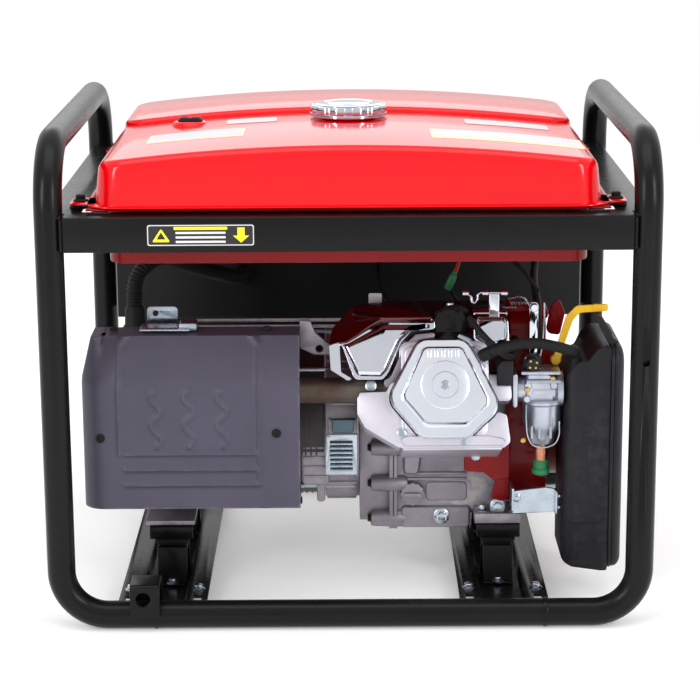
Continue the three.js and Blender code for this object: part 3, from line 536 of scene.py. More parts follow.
def makeStudio():
    bpy.ops.object.camera_add(location=studio["cameraAt"])
    camera = bpy.context.object
    camera.data.sensor_width = 36
    camera.data.lens = studio["lens"]
    camera.data.clip_end = 50
    yaw = Matrix.Rotation(math.radians(studio["yaw"]), 4, "Z")
    pitch = Matrix.Rotation(math.radians(90 - studio["pitch"]), 4, "X")
    roll = Matrix.Rotation(math.radians(studio["roll"]), 4, "Z")
    camera.matrix_world = Matrix.Translation(studio["cameraAt"]) @ yaw @ pitch @ roll
    scene = bpy.context.scene
    scene.camera = camera
    scene.view_settings.view_transform = "Standard"
    world = bpy.data.worlds.new("studio")
    scene.world = world
    world.use_nodes = True
    world.node_tree.nodes["Background"].inputs["Color"].default_value = (1, 1, 1, 1)
    world.node_tree.nodes["Background"].inputs["Strength"].default_value = studio["sky"]
    bpy.ops.mesh.primitive_plane_add(size=30, location=(0, 0, 0))
    floor = bpy.context.object
    floor.name = "floor"
    look = Look("floor_paper")
    tone = look.noise(3, 2)
    look.set(Base_Color=look.mix(tone, rgb("f8f8f8"), rgb(studio["floorColor"])), Roughness=0.7)
    look.shader.inputs["Emission Color"].default_value = (1, 1, 1, 1)
    look.shader.inputs["Emission Strength"].default_value = studio["floorGlow"]
    floor.data.materials.append(look.material)
    lights = [  # place, aim, width, height, watts
        ((-1.5, -1.7, 1.1), (-0.1, 0, 0.4), 0.3, 1.2, 15), ((1.5, -1.7, 1.1), (0.1, 0, 0.4), 0.3, 1.2, 14),
        ((0, -0.6, 2.4), (0, 0, 0.3), 2.2, 1.4, 16), ((0, 2.2, 1.5), (0, 0, 0.4), 2.4, 1.0, 8),
    ]
    for i, (at, aim, width, height, power) in enumerate(lights):
        bpy.ops.object.light_add(type="AREA", location=at)
        light = bpy.context.object
        light.name = f"softbox_{i + 1}"
        light.data.shape = "RECTANGLE"
        light.data.size, light.data.size_y, light.data.energy = width, height, power
        light.rotation_euler = (Vector(aim) - Vector(at)).to_track_quat("-Z", "Y").to_euler()


makeStudio()
print("studio made")


# fasteners
def hexBolt():  # flanged head of a unit bolt: 10 mm across, seated at its origin, standing along z
    bpy.ops.mesh.primitive_cylinder_add(vertices=6, radius=5.8 * mm, depth=5 * mm, location=(0, 0, 4 * mm))
    head = settle(bpy.context.object)
    edit(head, "faces", lambda face: face.normal.z > 0.9)
    bpy.ops.mesh.inset(thickness=0.5 * mm)
    bpy.ops.transform.translate(value=(0, 0, 0.5 * mm))
    leave()
    collar = turned("bolt_collar", [(0, 0), (8.5, 0), (8.5, 1.1), (6.2, 2.4), (0, 2.4)], Matrix(), 24)
    return join("bolt", [soften(head, 0.4, 1), collar])


def panHead():  # a unit cross-head screw
    dome = turned("screw", [(0, 0), (5, 0), (5, 1.2), (4, 2.8), (2, 3.4), (0, 3.5)], Matrix(), 20)
    for turn in (0, 90):
        bpy.ops.mesh.primitive_cube_add(size=1, location=(0, 0, 3.6 * mm), scale=(5 * mm, 1 * mm, 2 * mm))
        cutter = settle(bpy.context.object)
        cutter.rotation_euler.z = math.radians(turn)
        carve(dome, settle(cutter))
    return dome


patterns = {"hex": hexBolt(), "pan": panHead()}


def bolts(name, spots, size=1.0, kind="hex", material="zinc", body="root"):
    scale = Matrix.Scale(size, 4)
    return give(join(name, [copyOf(patterns[kind], spot @ scale) for spot in spots]), material, body)


# tube frame
tubeFrame = {"radius": 16.0, "bottomBend": 108, "topBend": 70, "sides": 32, "bendSteps": 14}


def buildEndTubes():
    radius = tubeFrame["radius"]
    low, high = (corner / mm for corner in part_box("right_end_tube"))
    x, y = high.x - radius, high.y - radius
    innerX, top = low.x, high.z - radius
    for side, node in ((-1, "left_end_tube"), (1, "right_end_tube")):
        corners = [(side * innerX, -y, radius, 0), (side * x, -y, radius, tubeFrame["bottomBend"]),
                (side * x, -y, top, tubeFrame["topBend"]), (side * x, y, top, tubeFrame["topBend"]),
                (side * x, y, radius, tubeFrame["bottomBend"]), (side * innerX, y, radius, 0)]
        path = fillet(corners, tubeFrame["bendSteps"], closed=False)
        obj = tube(node + "_smooth", path, radius, tubeFrame["sides"])
        if side > 0:
            carve(obj, turned("drill", [(0, 0), (4, 0), (4, 14), (0, 14)], onSide("near", y + 6, x, 314),
                    20))
        give(obj, "powderBlack", replaces=(node,))
    for y, node in ((-y, "rear_bottom_tube"), (y, "front_bottom_tube")):
        obj = tube(node + "_smooth", [(-innerX + 0.3, y, radius), (innerX - 0.3, y, radius)], radius,
                tubeFrame["sides"])
        give(obj, "powderBlack", replaces=(node,))
    beads = []
    for end in (-innerX, innerX):
        for yEnd in (-y, y):
            ripple = [(radius - 1, -3), (radius + 0.5, -2.4), (radius + 1.1, 0), (radius + 0.5, 2.4),
                    (radius - 1, 3)]
            beads.append(turned("bead", [*ripple, (radius - 1, -3)], toward((end, yEnd, radius), (0, 1, 0),
                    (0, 0, 1)), 32))
    beads = join("tube_weld_beads", beads)
    for vertex in beads.data.vertices:
        vertex.co.z = max(vertex.co.z, 0)  # ground flush underneath
    give(beads, "powderBlack")


def weldBead(start, end, radius=1.8):  # a lumpy run of weld
    start, end = Vector(start), Vector(end)
    count = max(int((end - start).length / 2.2), 3)
    points = [start.lerp(end, i / count) for i in range(count + 1)]
    curve = curveObject("weld", [points], closed=False)
    curve.data.dimensions = "3D"
    curve.data.bevel_depth = radius * mm
    curve.data.bevel_resolution = 2
    curve.data.use_fill_caps = True
    for i, point in enumerate(curve.data.splines[0].points):
        point.radius = 0.75 + 0.3 * (i % 2)
    return smooth(toMesh(curve), 60)


def buildRails():
    refit("tank_rail_ring", "powderBlack", 1.6, 3)
    low, high = (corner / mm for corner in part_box("tank_rail_ring"))
    seams = []
    for side in (-1, 1):
        for face in (-1, 1):
            seams.append(weldBead((side * 316.5, face * 284.5, low.z + 2),
                    (side * 316.5, face * 284.5, high.z - 2)))
            seams.append(weldBead((side * 317.5, face * 262, high.z + 0.2),
                    (side * 317.5, face * 283, high.z + 0.2)))
    give(join("rail_weld_beads", seams), "powderBlack")


def buildBase():
    for node in ("left_base_beam", "right_base_beam"):
        refit(node, "powderBlack", 0.9)
    for node in ("rear_axle_bracket", "front_axle_bracket"):
        refit(node, "powderBlack", 0.8)
    spots, beads = [], []
    for node in ("left_base_beam", "right_base_beam"):
        low, high = (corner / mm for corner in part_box(node))
        middle = (low.x + high.x) / 2
        for across in (-40, 40):
            spots += [onSide("top", high.z, middle + across, y) for y in (-190, 190)]
        for y in (low.y, high.y):
            inward = 1 if y < 0 else -1
            beads.append(weldBead((low.x + 2, y + inward * 1.2, high.z + 0.3),
                    (high.x - 2, y + inward * 1.2, high.z + 0.3)))
    bolts("base_beam_bolts", spots, 0.9)
    give(join("beam_weld_beads", beads), "powderBlack")


buildEndTubes()
buildRails()
buildBase()
print("frame tubes and rails built")

# fuel tank
tankShape = {
    "halfLength": 283, "rearY": -257, "frontY": 215, "seam": 488, "crown": 555, "sag": 2.3e-4,
    "cornerRadius": 30, "edgeRadius": 11, "taper": 5, "stepY": 30, "stepHeight": 6, "slices": 28,
}
filler = {"x": 1, "y": -18, "outer": 30, "top": 561}


def tankTop(x):
    return tankShape["crown"] - tankShape["sag"] * x * x


def sliced(obj, axis, low, high, count):  # cuts across a mesh so that it can follow a curve
    for i in range(1, count):
        edit(obj)
        spot, normal = [0, 0, 0], [0, 0, 0]
        spot[axis], normal[axis] = (low + (high - low) * i / count) * mm, 1
        bpy.ops.mesh.bisect(plane_co=spot, plane_no=normal)
        leave()
    return obj


def archedBlock(name, x, y0, y1, z0, rise, corner, rim):  # a tank pressing that follows the arch
    edge = tankTop(tankShape["halfLength"])
    bpy.ops.mesh.primitive_cube_add(size=1)
    obj = bpy.context.object
    obj.scale = Vector((2 * x, y1 - y0, edge - z0)) * mm
    obj.location = Vector((0, (y0 + y1) / 2, (edge + z0) / 2)) * mm
    settle(obj).name = name
    edit(obj, "edges", lambda item: abs(item.verts[0].co.z - item.verts[1].co.z) > 5 * mm)
    bpy.ops.mesh.bevel(offset=corner * mm, segments=8)
    leave()
    edit(obj, "edges", lambda item: all(vertex.co.z > (edge - 0.5) * mm for vertex in item.verts))
    bpy.ops.mesh.bevel(offset=rim * mm, segments=5)
    leave()
    sliced(obj, 0, -x, x, tankShape["slices"])
    for vertex in obj.data.vertices:
        height = max(vertex.co.z / mm - z0, 0)
        share = height / (edge - z0)
        vertex.co.x *= 1 - tankShape["taper"] / x * share
        vertex.co.z += (tankTop(vertex.co.x / mm) + rise - edge) * share * mm
    return clean(obj)


def buildTankShell():
    t = tankShape
    shell = archedBlock("tank_shell", t["halfLength"], t["rearY"], t["frontY"], t["seam"], 0,
            t["cornerRadius"], t["edgeRadius"])
    step = archedBlock("tank_step", t["halfLength"] - 3, t["stepY"], t["frontY"] - 4, t["seam"],
            t["stepHeight"], 26, 6)
    carve(shell, step, "UNION")
    x, y = t["halfLength"] + 10, t["rearY"] - 6
    flange = plate("tank_flange", rectangle(-x, x, y, t["frontY"] + 6, 34), 2.0,
            onSide("top", t["seam"] - 1.2), 0.8)
    parts = [shell, flange]
    for side in (-1, 1):
        for y in (-217, 175):
            ear = rectangle(*sorted((side * 280, side * 312)), y - 22, y + 22, 9)
            parts.append(plate("ear", ear, 2.0, onSide("top", t["seam"] - 1.2), 0.7))
    neck = [(filler["outer"] - 2, 545), (filler["outer"] + 7, 552), (filler["outer"] + 1.5, 556),
            (filler["outer"], 559), (filler["outer"], filler["top"]), (24, filler["top"]), (24, 545)]
    parts.append(turned("neck", [*neck, neck[0]], onSide("top", 0, filler["x"], filler["y"])))
    boss = [(0, 535), (24, 540), (21, 548), (19, 550.2), (17, 550.8), (0, 550.8)]
    parts.append(turned("boss", boss, onSide("top", 0, -190, -15)))
    for part in parts:
        smooth(part, 38)
    give(join("tank_shell", parts), "tankRed", replaces=("tank_upper_shell",))
    # the lower pan wears the darker red, painted shade under the tank flange
    refit("tank_lower_pan", "panRed", 1.5, 2)


def buildTankMounts():
    spots, rubbers = [], []
    for side in (-1, 1):
        for y in (-217, 175):
            spots.append(onSide("top", 488.9, side * 301, y))
            profile = [(0, 481.2), (12, 481.2), (12.8, 482.4), (12, 483.6), (12, 486.2), (0, 486.2)]
            rubbers.append(turned("grommet", profile, onSide("top", 0, side * 301, y), 28))
    bolts("tank_bolts", spots, 1.0, material="softBlack")
    give(join("tank_grommets", rubbers), "softBlack")


capShape = {"radius": 46.5, "bottom": 558, "top": 573, "scallops": 12, "scallopDepth": 2.6}


def buildFuelCap():
    c = capShape
    count = c["scallops"] * 10
    outline = []
    for i in range(count):
        angle = 2 * math.pi * i / count
        dip = max(math.cos(angle * c["scallops"]), 0) ** 0.8 * c["scallopDepth"]
        outline.append(((c["radius"] - 0.6 - dip) * math.cos(angle),
                (c["radius"] - 0.6 - dip) * math.sin(angle), 0))
    place = onSide("top", c["bottom"] + 2.5, filler["x"], filler["y"])
    body = plate("cap_body", outline, c["top"] - c["bottom"] - 4.5, place, 1.6)
    rings = [
        [(0, 570), (39, 570), (41, 571.6), (40, 572.2), (36, 572.6), (30, 572.9), (27.5, 572.1),
                (25, 572.1),
         (23.5, 572.9), (0, 573)],
        [(31.5, 558), (46.3, 558), (46.5, 559), (46.3, 561), (31.5, 561), (31.5, 558)],
    ]
    parts = [body, *[turned("ring", ring, onSide("top", 0, filler["x"], filler["y"]), 64)
            for ring in rings]]
    give(join("chrome_fuel_cap", parts), "chrome", "cap", ("fuel_cap",))


def buildFuelGauge():
    place = onSide("top", 551.1, -190, -15)
    base = plate("gauge_base", rectangle(-15, 15, -9, 9, 5), 2.2, place, 0.8)
    slotHoles = (rectangle(-11, -2, -3, 3, 2), rectangle(2, 11, -3, 3, 2))
    lid = plate("gauge_lid", rectangle(-13, 13, -7, 7, 4), 1.6, onSide("top", 553.3, -190, -15), 0.5,
            slotHoles)
    give(join("gauge_body", [base, lid]), "blackPlastic", replaces=("fuel_gauge",))


def draped(name, corners, thickness, lift=0.3):  # a label that lies on the arch
    obj = plate(name, corners, thickness, onSide("top", 0))
    xs = [corner[0] for corner in corners]
    sliced(obj, 0, min(xs), max(xs), 12)
    for vertex in obj.data.vertices:
        vertex.co.z += (tankTop(vertex.co.x / mm) + lift) * mm
    return obj


topLabels = [  # x0, x1, y0, y1, material, border material
    (-232, -120, -152, -86, "labelSilver", "labelCream"), (-145, -85, -44, -6, "labelSilver", None),
    (95, 270, -182, -110, "labelGrey", "labelCream"), (140, 240, -52, -12, "labelSilver", None),
]


def buildTopLabels():
    for i, (x0, x1, y0, y1, material, border) in enumerate(topLabels):
        if border:
            give(draped(f"tank_label_{i + 1}_border", rectangle(x0, x1, y0, y1, 5), 0.25, 0.1), border)
            x0, x1, y0, y1 = x0 + 3, x1 - 3, y0 + (14 if i == 2 else 3), y1 - 3
        give(draped(f"tank_label_{i + 1}", rectangle(x0, x1, y0, y1, 4), 0.3, 0.25), material)


railLabel = {"x0": -222, "x1": -103, "z0": 449, "z1": 474, "y": 284.2}


def buildRailLabel():
    r = railLabel
    x0, x1, z0, z1 = r["x0"], r["x1"], r["z0"], r["z1"]

    def near(layer):
        return onSide("near", r["y"] + layer)

    give(plate("rail_label_back", rectangle(x0, x1, z0, z1, 3), 0.3, near(0)), "decalBlack")
    rim = plate("rail_label_rim", rectangle(x0 + 1, x1 - 1, z0 + 1, z1 - 1, 2.4), 0.2, near(0.2), 0,
            (rectangle(x0 + 2, x1 - 2, z0 + 2, z1 - 2, 2),))
    bars = [plate("bar", rectangle(x0 + 32, x1 - 32, z0 + 4 + 5 * i, z0 + 6.4 + 5 * i, 0.6), 0.2,
            near(0.2)) for i in range(3)]
    give(join("rail_label_white", [rim, *bars]), "decalWhite")
    header = plate("header", rectangle(x0 + 30, x1 - 30, z1 - 6.5, z1 - 3, 1), 0.2, near(0.2))
    triangle = plate("triangle", [(x0 + 6, z0 + 5, 1), (x0 + 26, z0 + 5, 1), (x0 + 16, z1 - 5, 1)], 0.2,
            near(0.2), 0, ([(x0 + 11, z0 + 8, 0), (x0 + 21, z0 + 8, 0), (x0 + 16, z1 - 9, 0)],))
    arrow = [(x1 - 19, z1 - 4, 0), (x1 - 11, z1 - 4, 0), (x1 - 11, z0 + 12, 0), (x1 - 6, z0 + 12, 0),
            (x1 - 15, z0 + 4, 0), (x1 - 24, z0 + 12, 0), (x1 - 19, z0 + 12, 0)]
    give(join("rail_label_yellow", [header, triangle, plate("arrow", arrow, 0.2, near(0.2))]),
            "decalYellow")


buildTankShell()
buildTankMounts()
buildFuelCap()
buildFuelGauge()
buildTopLabels()
buildRailLabel()
print("fuel tank built")


def rod(name, start, end, radius, sides=20):
    return tube(name, [start, end], radius, sides)


# muffler and its heat shield
shieldShape = {
    "left": -308, "right": -57, "rearY": -235, "frontY": -160, "bottom": 131, "crease": 282, "top": 331,
    "slant": 30, "corner": 25, "foldRadius": 7, "sideSlant": 0.4, "sheet": 2, "cell": 2.6, "ribDepth": 3.4,
    "ribWidth": 5.0,
}
shieldRibs = [  # runs of x, z that are pressed into the front
    [(-264, 322), (-264, 197)], [(-104, 321), (-104, 160)], [(-258, 197), (-104, 197)],
    [(-258, 178), (-104, 178)], [(-258, 160), (-104, 160)], [(-264, 322), (-255, 331)],
    [(-104, 321), (-113, 331)],
]
exhaustY = -165
heatLines = {"xs": (-222, -184, -146), "low": 206, "high": 272, "swing": 6}


def runLength(points):
    lengths = [0.0]
    for first, second in zip(points, points[1:]):
        lengths.append(lengths[-1] + (Vector(second) - Vector(first)).length)
    return lengths


def evenly(points, step):  # the same line with even spacing
    lengths = runLength(points)
    count = max(int(lengths[-1] / step), 1)
    spread = []
    for i in range(count + 1):
        target = lengths[-1] * i / count
        part = min(next((k for k, length in enumerate(lengths) if length >= target - 1e-6), 1),
                len(points) - 1)
        part = max(part, 1)
        share = (target - lengths[part - 1]) / max(lengths[part] - lengths[part - 1], 1e-9)
        spread.append(Vector(points[part - 1]).lerp(Vector(points[part]), share))
    return spread


def ribHeight(x, z, runs):
    nearest = 99.0
    spot = Vector((x, z))
    for run in runs:
        for first, second in zip(run, run[1:]):
            start, along = Vector(first), Vector(second) - Vector(first)
            share = min(max((spot - start).dot(along) / along.length_squared, 0), 1)
            nearest = min(nearest, (spot - start - along * share).length)
    share = min(nearest / shieldShape["ribWidth"], 1)
    return shieldShape["ribDepth"] * (0.5 + 0.5 * math.cos(math.pi * share))


def buildShield():
    s = shieldShape
    topRows = 10
    steam = [[(x + heatLines["swing"] * math.sin(4 * math.pi * i / 20), heatLines["low"]
            + (heatLines["high"] - heatLines["low"]) * i / 20) for i in range(21)] for x in heatLines["xs"]]
    runs = [*shieldRibs, *steam]
    profile = evenly(fillet([(0, s["bottom"], 0), (0, s["crease"], s["foldRadius"] * 3),
            (s["slant"], s["top"], s["foldRadius"])], 8, closed=False)
            + [Vector((s["slant"] + 6, s["top"]))], s["cell"])
    profile = [point for point in profile if point.x <= s["slant"]]
    front = evenly([(s["right"], s["rearY"]), (s["left"] + s["corner"], s["rearY"])], s["cell"])
    angles = [math.pi / 2 * i / 8 for i in range(1, 9)]
    arc = [Vector((s["left"] + s["corner"] - s["corner"] * math.sin(a), s["rearY"]
            + s["corner"] * (1 - math.cos(a)))) for a in angles]
    side = [Vector((s["left"], s["rearY"] + s["corner"]
            + (s["frontY"] - s["rearY"] - s["corner"]) * i / topRows)) for i in range(1, topRows + 1)]
    columns = [(point, Vector((0, 1)), 1.0) for point in front]
    columns += [(point, Vector((math.sin(a), math.cos(a))), 1 - (1 - s["sideSlant"]) * math.sin(a) ** 2)
            for point, a in zip(arc, angles)]
    columns += [(point, Vector((1, 0)), s["sideSlant"]) for point in side]
    rows = len(profile) + topRows
    bpy.ops.mesh.primitive_grid_add(x_subdivisions=len(columns) - 1, y_subdivisions=rows - 1, size=1)
    obj = bpy.context.object
    obj.name = "heat_shield"
    across = len(columns)
    for index, vertex in enumerate(obj.data.vertices):
        column, row = index % across, index // across
        point, inward, share = columns[column]
        offset, z = profile[min(row, len(profile) - 1)]
        place = point + inward * offset * share
        if row >= len(profile) and column < across - topRows:
            place.y += (s["frontY"] - place.y) * (row - len(profile) + 1) / topRows
        elif column >= across - topRows:  # the side meets the top along its own edge
            fraction = (column - (across - topRows) + 1) / topRows
            cornerY = s["rearY"] + s["corner"]
            place.y = cornerY + (s["frontY"] - cornerY) * fraction
        lift = 0.0
        if column < len(front) and row < len(profile):
            lift = ribHeight(point.x, z, runs)
            if point.x < heatLines["xs"][0] - 60 or z < s["bottom"] + 8:
                lift = 0.0
        vertex.co = Vector((place.x, place.y - lift, z)) * mm
    clean(obj, 1.0e-4)
    modify(obj, "SOLIDIFY", thickness=s["sheet"] * mm, offset=-1)
    give(smooth(clean(obj, 1e-6), 50), "shieldGrey", replaces=("muffler_shield",))
    spots = [onSide("near", -s["rearY"], x, z) for x, z in ((-286, 216), (-84, 221))]
    spots += [onSide("top", s["top"], x, -180) for x in (-273, -95)]
    spots.append(onSide("left", -s["left"], 180, 257))
    bolts("shield_bolts", spots, 1.05, "pan", "softBlack")


def buildMuffler():
    refit("muffler", "mufflerSteel", 3, 3)
    seam = plate("seam", [(-229, 147, 22), (-127, 147, 22), (-127, 308, 22), (-205, 308, 12),
            (-229, 272, 12)], 3, onSide("right", -185), 1)
    give(seam, "mufflerSteel")
    tab = [plate("tab", rectangle(-241, -184, 332, 334.5, 0.5), 30, onSide("near", 165), 0.4),
            plate("upright", rectangle(-236, -200, 333, 352, 5), 2.5, onSide("near", 150), 0.6,
            (circle(3.5, -226, 344, 16),)), plate("ear", rectangle(-196, -176, 331, 340, 2), 22,
            onSide("near", 168), 0.6)]
    give(join("shield_top_bracket", tab), "zinc")
    strut = plate("strut", [(-58, 333, 3), (-46, 333, 3), (-40, 318, 4), (-22, 303, 4), (-22, 291, 3),
            (-40, 291, 3), (-58, 300, 3)], 8, onSide("near", 140), 1.2, (circle(4.5, -35, 299, 16),))
    rods = [rod("wire", (-180, y, z), (60, y, z), 2.2, 10) for y, z in ((-126, 329), (-120, 320),
            (-112, 312))]
    give(join("exhaust_bracket", [strut, *rods]), "castAluminium")
    give(join("muffler_studs", [rod("stud", (-62, -120, 108), (-62, -120, 126), 3.2, 12),
            rod("stud", (-62, -120, 100), (-62, -120, 108), 4.6, 6)]), "softBlack")
    outline = rectangle(exhaustY - 32, exhaustY + 32, 238, 268, 12)
    give(plate("exhaust_flange", outline, 6, onSide("right", 49), 1), "mufflerSteel")


buildShield()
buildMuffler()
print("muffler and shield built")

# cylinder, head and valve cover
bankParts = {"headNear": 150.3, "headFar": 200, "halfHeight": 58}
coverRim = [(80, 58, 18), (136, 58, 18), (176, -22, 20), (138, -58, 22), (82, -58, 22), (43, -12, 20)]
coverCrown = [(84, 49, 12), (132, 49, 12), (164, -18, 13), (136, -46, 15), (86, -46, 15), (57, -12, 13)]


def buildValveCover():
    rim = stack("cover_rim", coverRim, [(0, 0), (3, 0), (4.2, 1), (9.2, 1), (10.8, 2.4)],
            onSide("bank", 200.3))
    crown = stack("cover_crown", coverCrown, [(0, 0), (3, 0.6), (12, 3.2), (14, 4.8), (13.2, 10.8)],
            onSide("bank", 211))
    spot = [(28, 222), (28, 224.4), (26.5, 225), (15.5, 225), (14.5, 223.6), (11, 223.2), (10, 221.5),
            (0, 221.5), (0, 220), (28, 220)]
    disc = turned("cover_disc", [*spot, spot[0]], onSide("bank", 0, 110, 2), 64)
    give(join("valve_cover_pressing", [rim, crown, disc]), "brushedCover", replaces=("valve_cover",))
    ribs = []
    for x in (92, 100, 108, 116, 124):  # plain ribs over the disc
        ribs.append(plate("rib", rectangle(x - 2, x + 2, 33, 43, 1.9), 1.6, onSide("bank", 223.6), 0.6))
    give(join("valve_cover_ribs", ribs), "brushedCover")
    bolts("valve_cover_bolt", [onSide("bank", 221.5, 110, 2)], 0.95)
    gasket = plate("valve_cover_gasket", shrunk(coverRim, -1.2), 2.2, onSide("bank", 198.4), 0.5)
    give(gasket, "softBlack")


def buildHead():
    b = bankParts
    core = rectangle(64, 156, -52, 52, 10)
    parts = [plate("core", core, b["headFar"] - b["headNear"], onSide("bank", b["headNear"]), 1.5)]
    for i in range(6):
        parts.append(plate("fin", rectangle(58, 162, -b["halfHeight"], b["halfHeight"], 12), 2.6,
                onSide("bank", b["headNear"] + 1 + i * 7.6), 0.9))
    parts.append(plate("deck", rectangle(60, 160, -56, 56, 12), 5, onSide("bank", 193.5), 1))
    port = rectangle(155, 189.5, -12, 20, 6)
    parts.append(plate("intake_port", port, 31, onSide("bank", b["headNear"] + 0.5), 2))
    give(join("finned_head", parts), "blastedAluminium", replaces=("cylinder_head",))
    fins = [plate("fin", rectangle(57, 163, -63, 63, 10), 2.6, onSide("bank", 96 + i * 7.6), 0.9)
            for i in range(7)]
    give(join("barrel_fins", fins), "castAluminium")


buildValveCover()
buildHead()
print("head and valve cover built")

# shrouds
leftLobe = [(-24, 52, 3), (-8, 53, 2), (6, 13, 7), (39, 13, 6), (46, 22, 0), (52, 37, 0), (61, 57, 0),
        (73, 70, 6), (101, 72, 4), (99, 84, 4), (37, 84, 10), (-2, 60, 4)]


def buildUpperShroud():
    lobe = stack("left_lobe", [(-12, 56, 4), (8, 15, 9), (38, 14, 7), (46, 22, 10), (53, 38, 12),
            (62, 57, 12), (74, 68, 8), (97, 71, 5), (97, 80, 5), (38, 80, 14), (-2, 58, 8)],
            [(0, 0), (16, 0), (23, 1.5), (27, 5), (28.2, 8)], onSide("bank", 168), 8)
    edge = stack("edge_strip", [(-24, 53, 2), (-11, 58, 2), (-9, 22, 2), (6, 13, 3), (-3, 12, 3),
            (-22, 24, 2)], [(0, 0), (2, 0), (3, 0.6)], onSide("bank", 190))
    flange = plate("lobe_flange", leftLobe, 1.6, onSide("bank", 190.5), 0.5)
    right = stack("right_lobe", [(147, 84, 3), (181, 84, 4), (185, 79, 4), (184, 57, 5), (168, 50, 8),
            (147, 62, 5)], [(0, 0), (12, 0), (17, 1.4), (19.5, 4.4)], onSide("bank", 180), 6)
    lip = plate("right_lip", [(146, 85, 2), (186, 85, 3), (187, 56, 5), (168, 48, 8), (146, 60, 4)], 1.5,
            onSide("bank", 184), 0.5)
    give(join("chrome_shroud", [lobe, edge, flange, right, lip]), "chrome", replaces=("upper_shroud",))
    roofOutline = [(36, -75, 6), (10, -100, 8), (2, -140, 10), (38, -166, 14), (98, -166, 6),
            (98, -124, 8), (148, -124, 8), (148, -164, 6), (183, -164, 8), (186, -75, 6)]
    roof = stack("roof", roofOutline, [(0, 0), (-1.4, 0), (-3.9, 1.5)], onSide("top", 340))
    skirt = plate("roof_skirt", [(30, 338, 4), (186, 338, 4), (186, 300, 8), (120, 306, 6), (36, 318, 6)],
            2, onSide("near", 96), 0.7)
    # roof and skirt: chrome sheet whose dark red is a painted reflection of the tank
    give(join("shroud_roof", [roof, skirt]), "shroudRed")
    slope = [(-23, -172, 309), (-2, -172, 313), (37, -165, 337), (96, -165, 339), (60, -120, 341),
            (4, -112, 340), (-20, -140, 320)]
    bpy.ops.mesh.primitive_circle_add(vertices=len(slope), fill_type="NGON")
    panel = bpy.context.object
    for vertex, spot in zip(panel.data.vertices, slope):
        vertex.co = Vector(spot) * mm
    edit(panel)
    bpy.ops.mesh.quads_convert_to_tris()
    bpy.ops.mesh.subdivide(number_cuts=3, smoothness=0.6)
    leave()
    modify(panel, "SOLIDIFY", thickness=2 * mm, offset=0)
    # the slope panel too: chrome sheet with the tank's red painted in as reflection
    give(smooth(clean(panel), 60), "shroudRed")
    panel.name = "shroud_slope"
    liner = []
    for depth in (176, 187):
        liner.append(plate("liner", [(38, 11, 5), (48, 16, 12), (57, 36, 12), (67, 56, 12), (78, 66, 6),
                (100, 68, 3), (100, 62, 3), (80, 59, 8), (66, 38, 12), (60, 12, 6), (44, 2, 4)], 6,
                onSide("bank", depth), 1))
    give(join("shroud_liner", liner), "castAluminium")
    bolts("shroud_bolts", [onSide("bank", 188, 25, 6), onSide("top", 340.2, 120, -112)], 0.8)


def buildLowerShroud():
    face = [(10, -9, 2), (12, -3, 2), (43, -2, 3), (48, 8, 5), (56, 10, 4), (70, -4, 10), (70, -30, 14),
            (90, -52, 12), (132, -54, 12), (156, -38, 10), (172, -26, 6), (182, -30, 4), (186, -62, 8),
            (178, -68, 6), (60, -68, 5), (20, -42, 9), (11, -27, 5)]
    front = plate("lower_face", face, 2.4, onSide("bank", 195.8), 0.9, arcSteps=8)
    step = stack("lower_step", [(56, -56, 4), (64, -66, 4), (178, -66, 5), (180, -58, 5), (160, -54, 6),
            (70, -54, 6)], [(0, 0), (2.5, 0), (3.7, 1)], onSide("bank", 198))
    belly = [(60, -66, 3), (176, -66, 3), (176, -70, 1.5), (62, -70, 1.5)]
    floor = plate("lower_floor", belly, 84, onSide("bank", 112), 0.8)
    cheek = plate("lower_cheek", [(9, -8, 2), (12, -8, 1), (14, -26, 4), (24, -42, 4), (60, -64, 2),
            (58, -68, 2), (18, -44, 5), (9, -28, 4)], 40, onSide("bank", 158), 0.8)
    give(join("lower_air_guide", [front, step, floor, cheek]), "blastedAluminium",
            replaces=("lower_shroud",))
    bolts("air_guide_bolts", [onSide("bank", 199, 132, -62), onSide("bank", 198.4, 60, -50)], 0.7)
    strip = [(128, 66, 2), (141, 60, 3), (161, 27, 4), (156, 24, 2), (138, 54, 4), (126, 61, 2)]
    give(plate("cover_edge_strip", strip, 8, onSide("bank", 192), 0.8), "zinc")


buildUpperShroud()
buildLowerShroud()
print("shrouds built")

# crankcase
caseShape = {"near": -105, "far": 75, "bottom": 62, "top": 262}


bossSpots = [(-100, 75), (-104, 120), (-104, 165), (-70, 64), (-20, 62), (40, 64), (70, 100), (72, 160),
        (66, 230)]
bossProfile = [(0, 26), (8.5, 26), (9.5, 28), (10.5, 50), (10.5, 66), (8, 70), (0, 70)]
nearRibs = (82, 124, 131, 171, 178)  # heights of the ribs along the near wall


def caseSection(grow, topRadius=40, bottomRadius=24):
    c = caseShape
    return [(c["near"] - grow, c["bottom"] - grow, bottomRadius), (c["far"] + grow, c["bottom"] - grow,
            bottomRadius), (c["far"] + grow, c["top"] + grow, topRadius),
            (c["near"] - grow, c["top"] + grow, topRadius)]


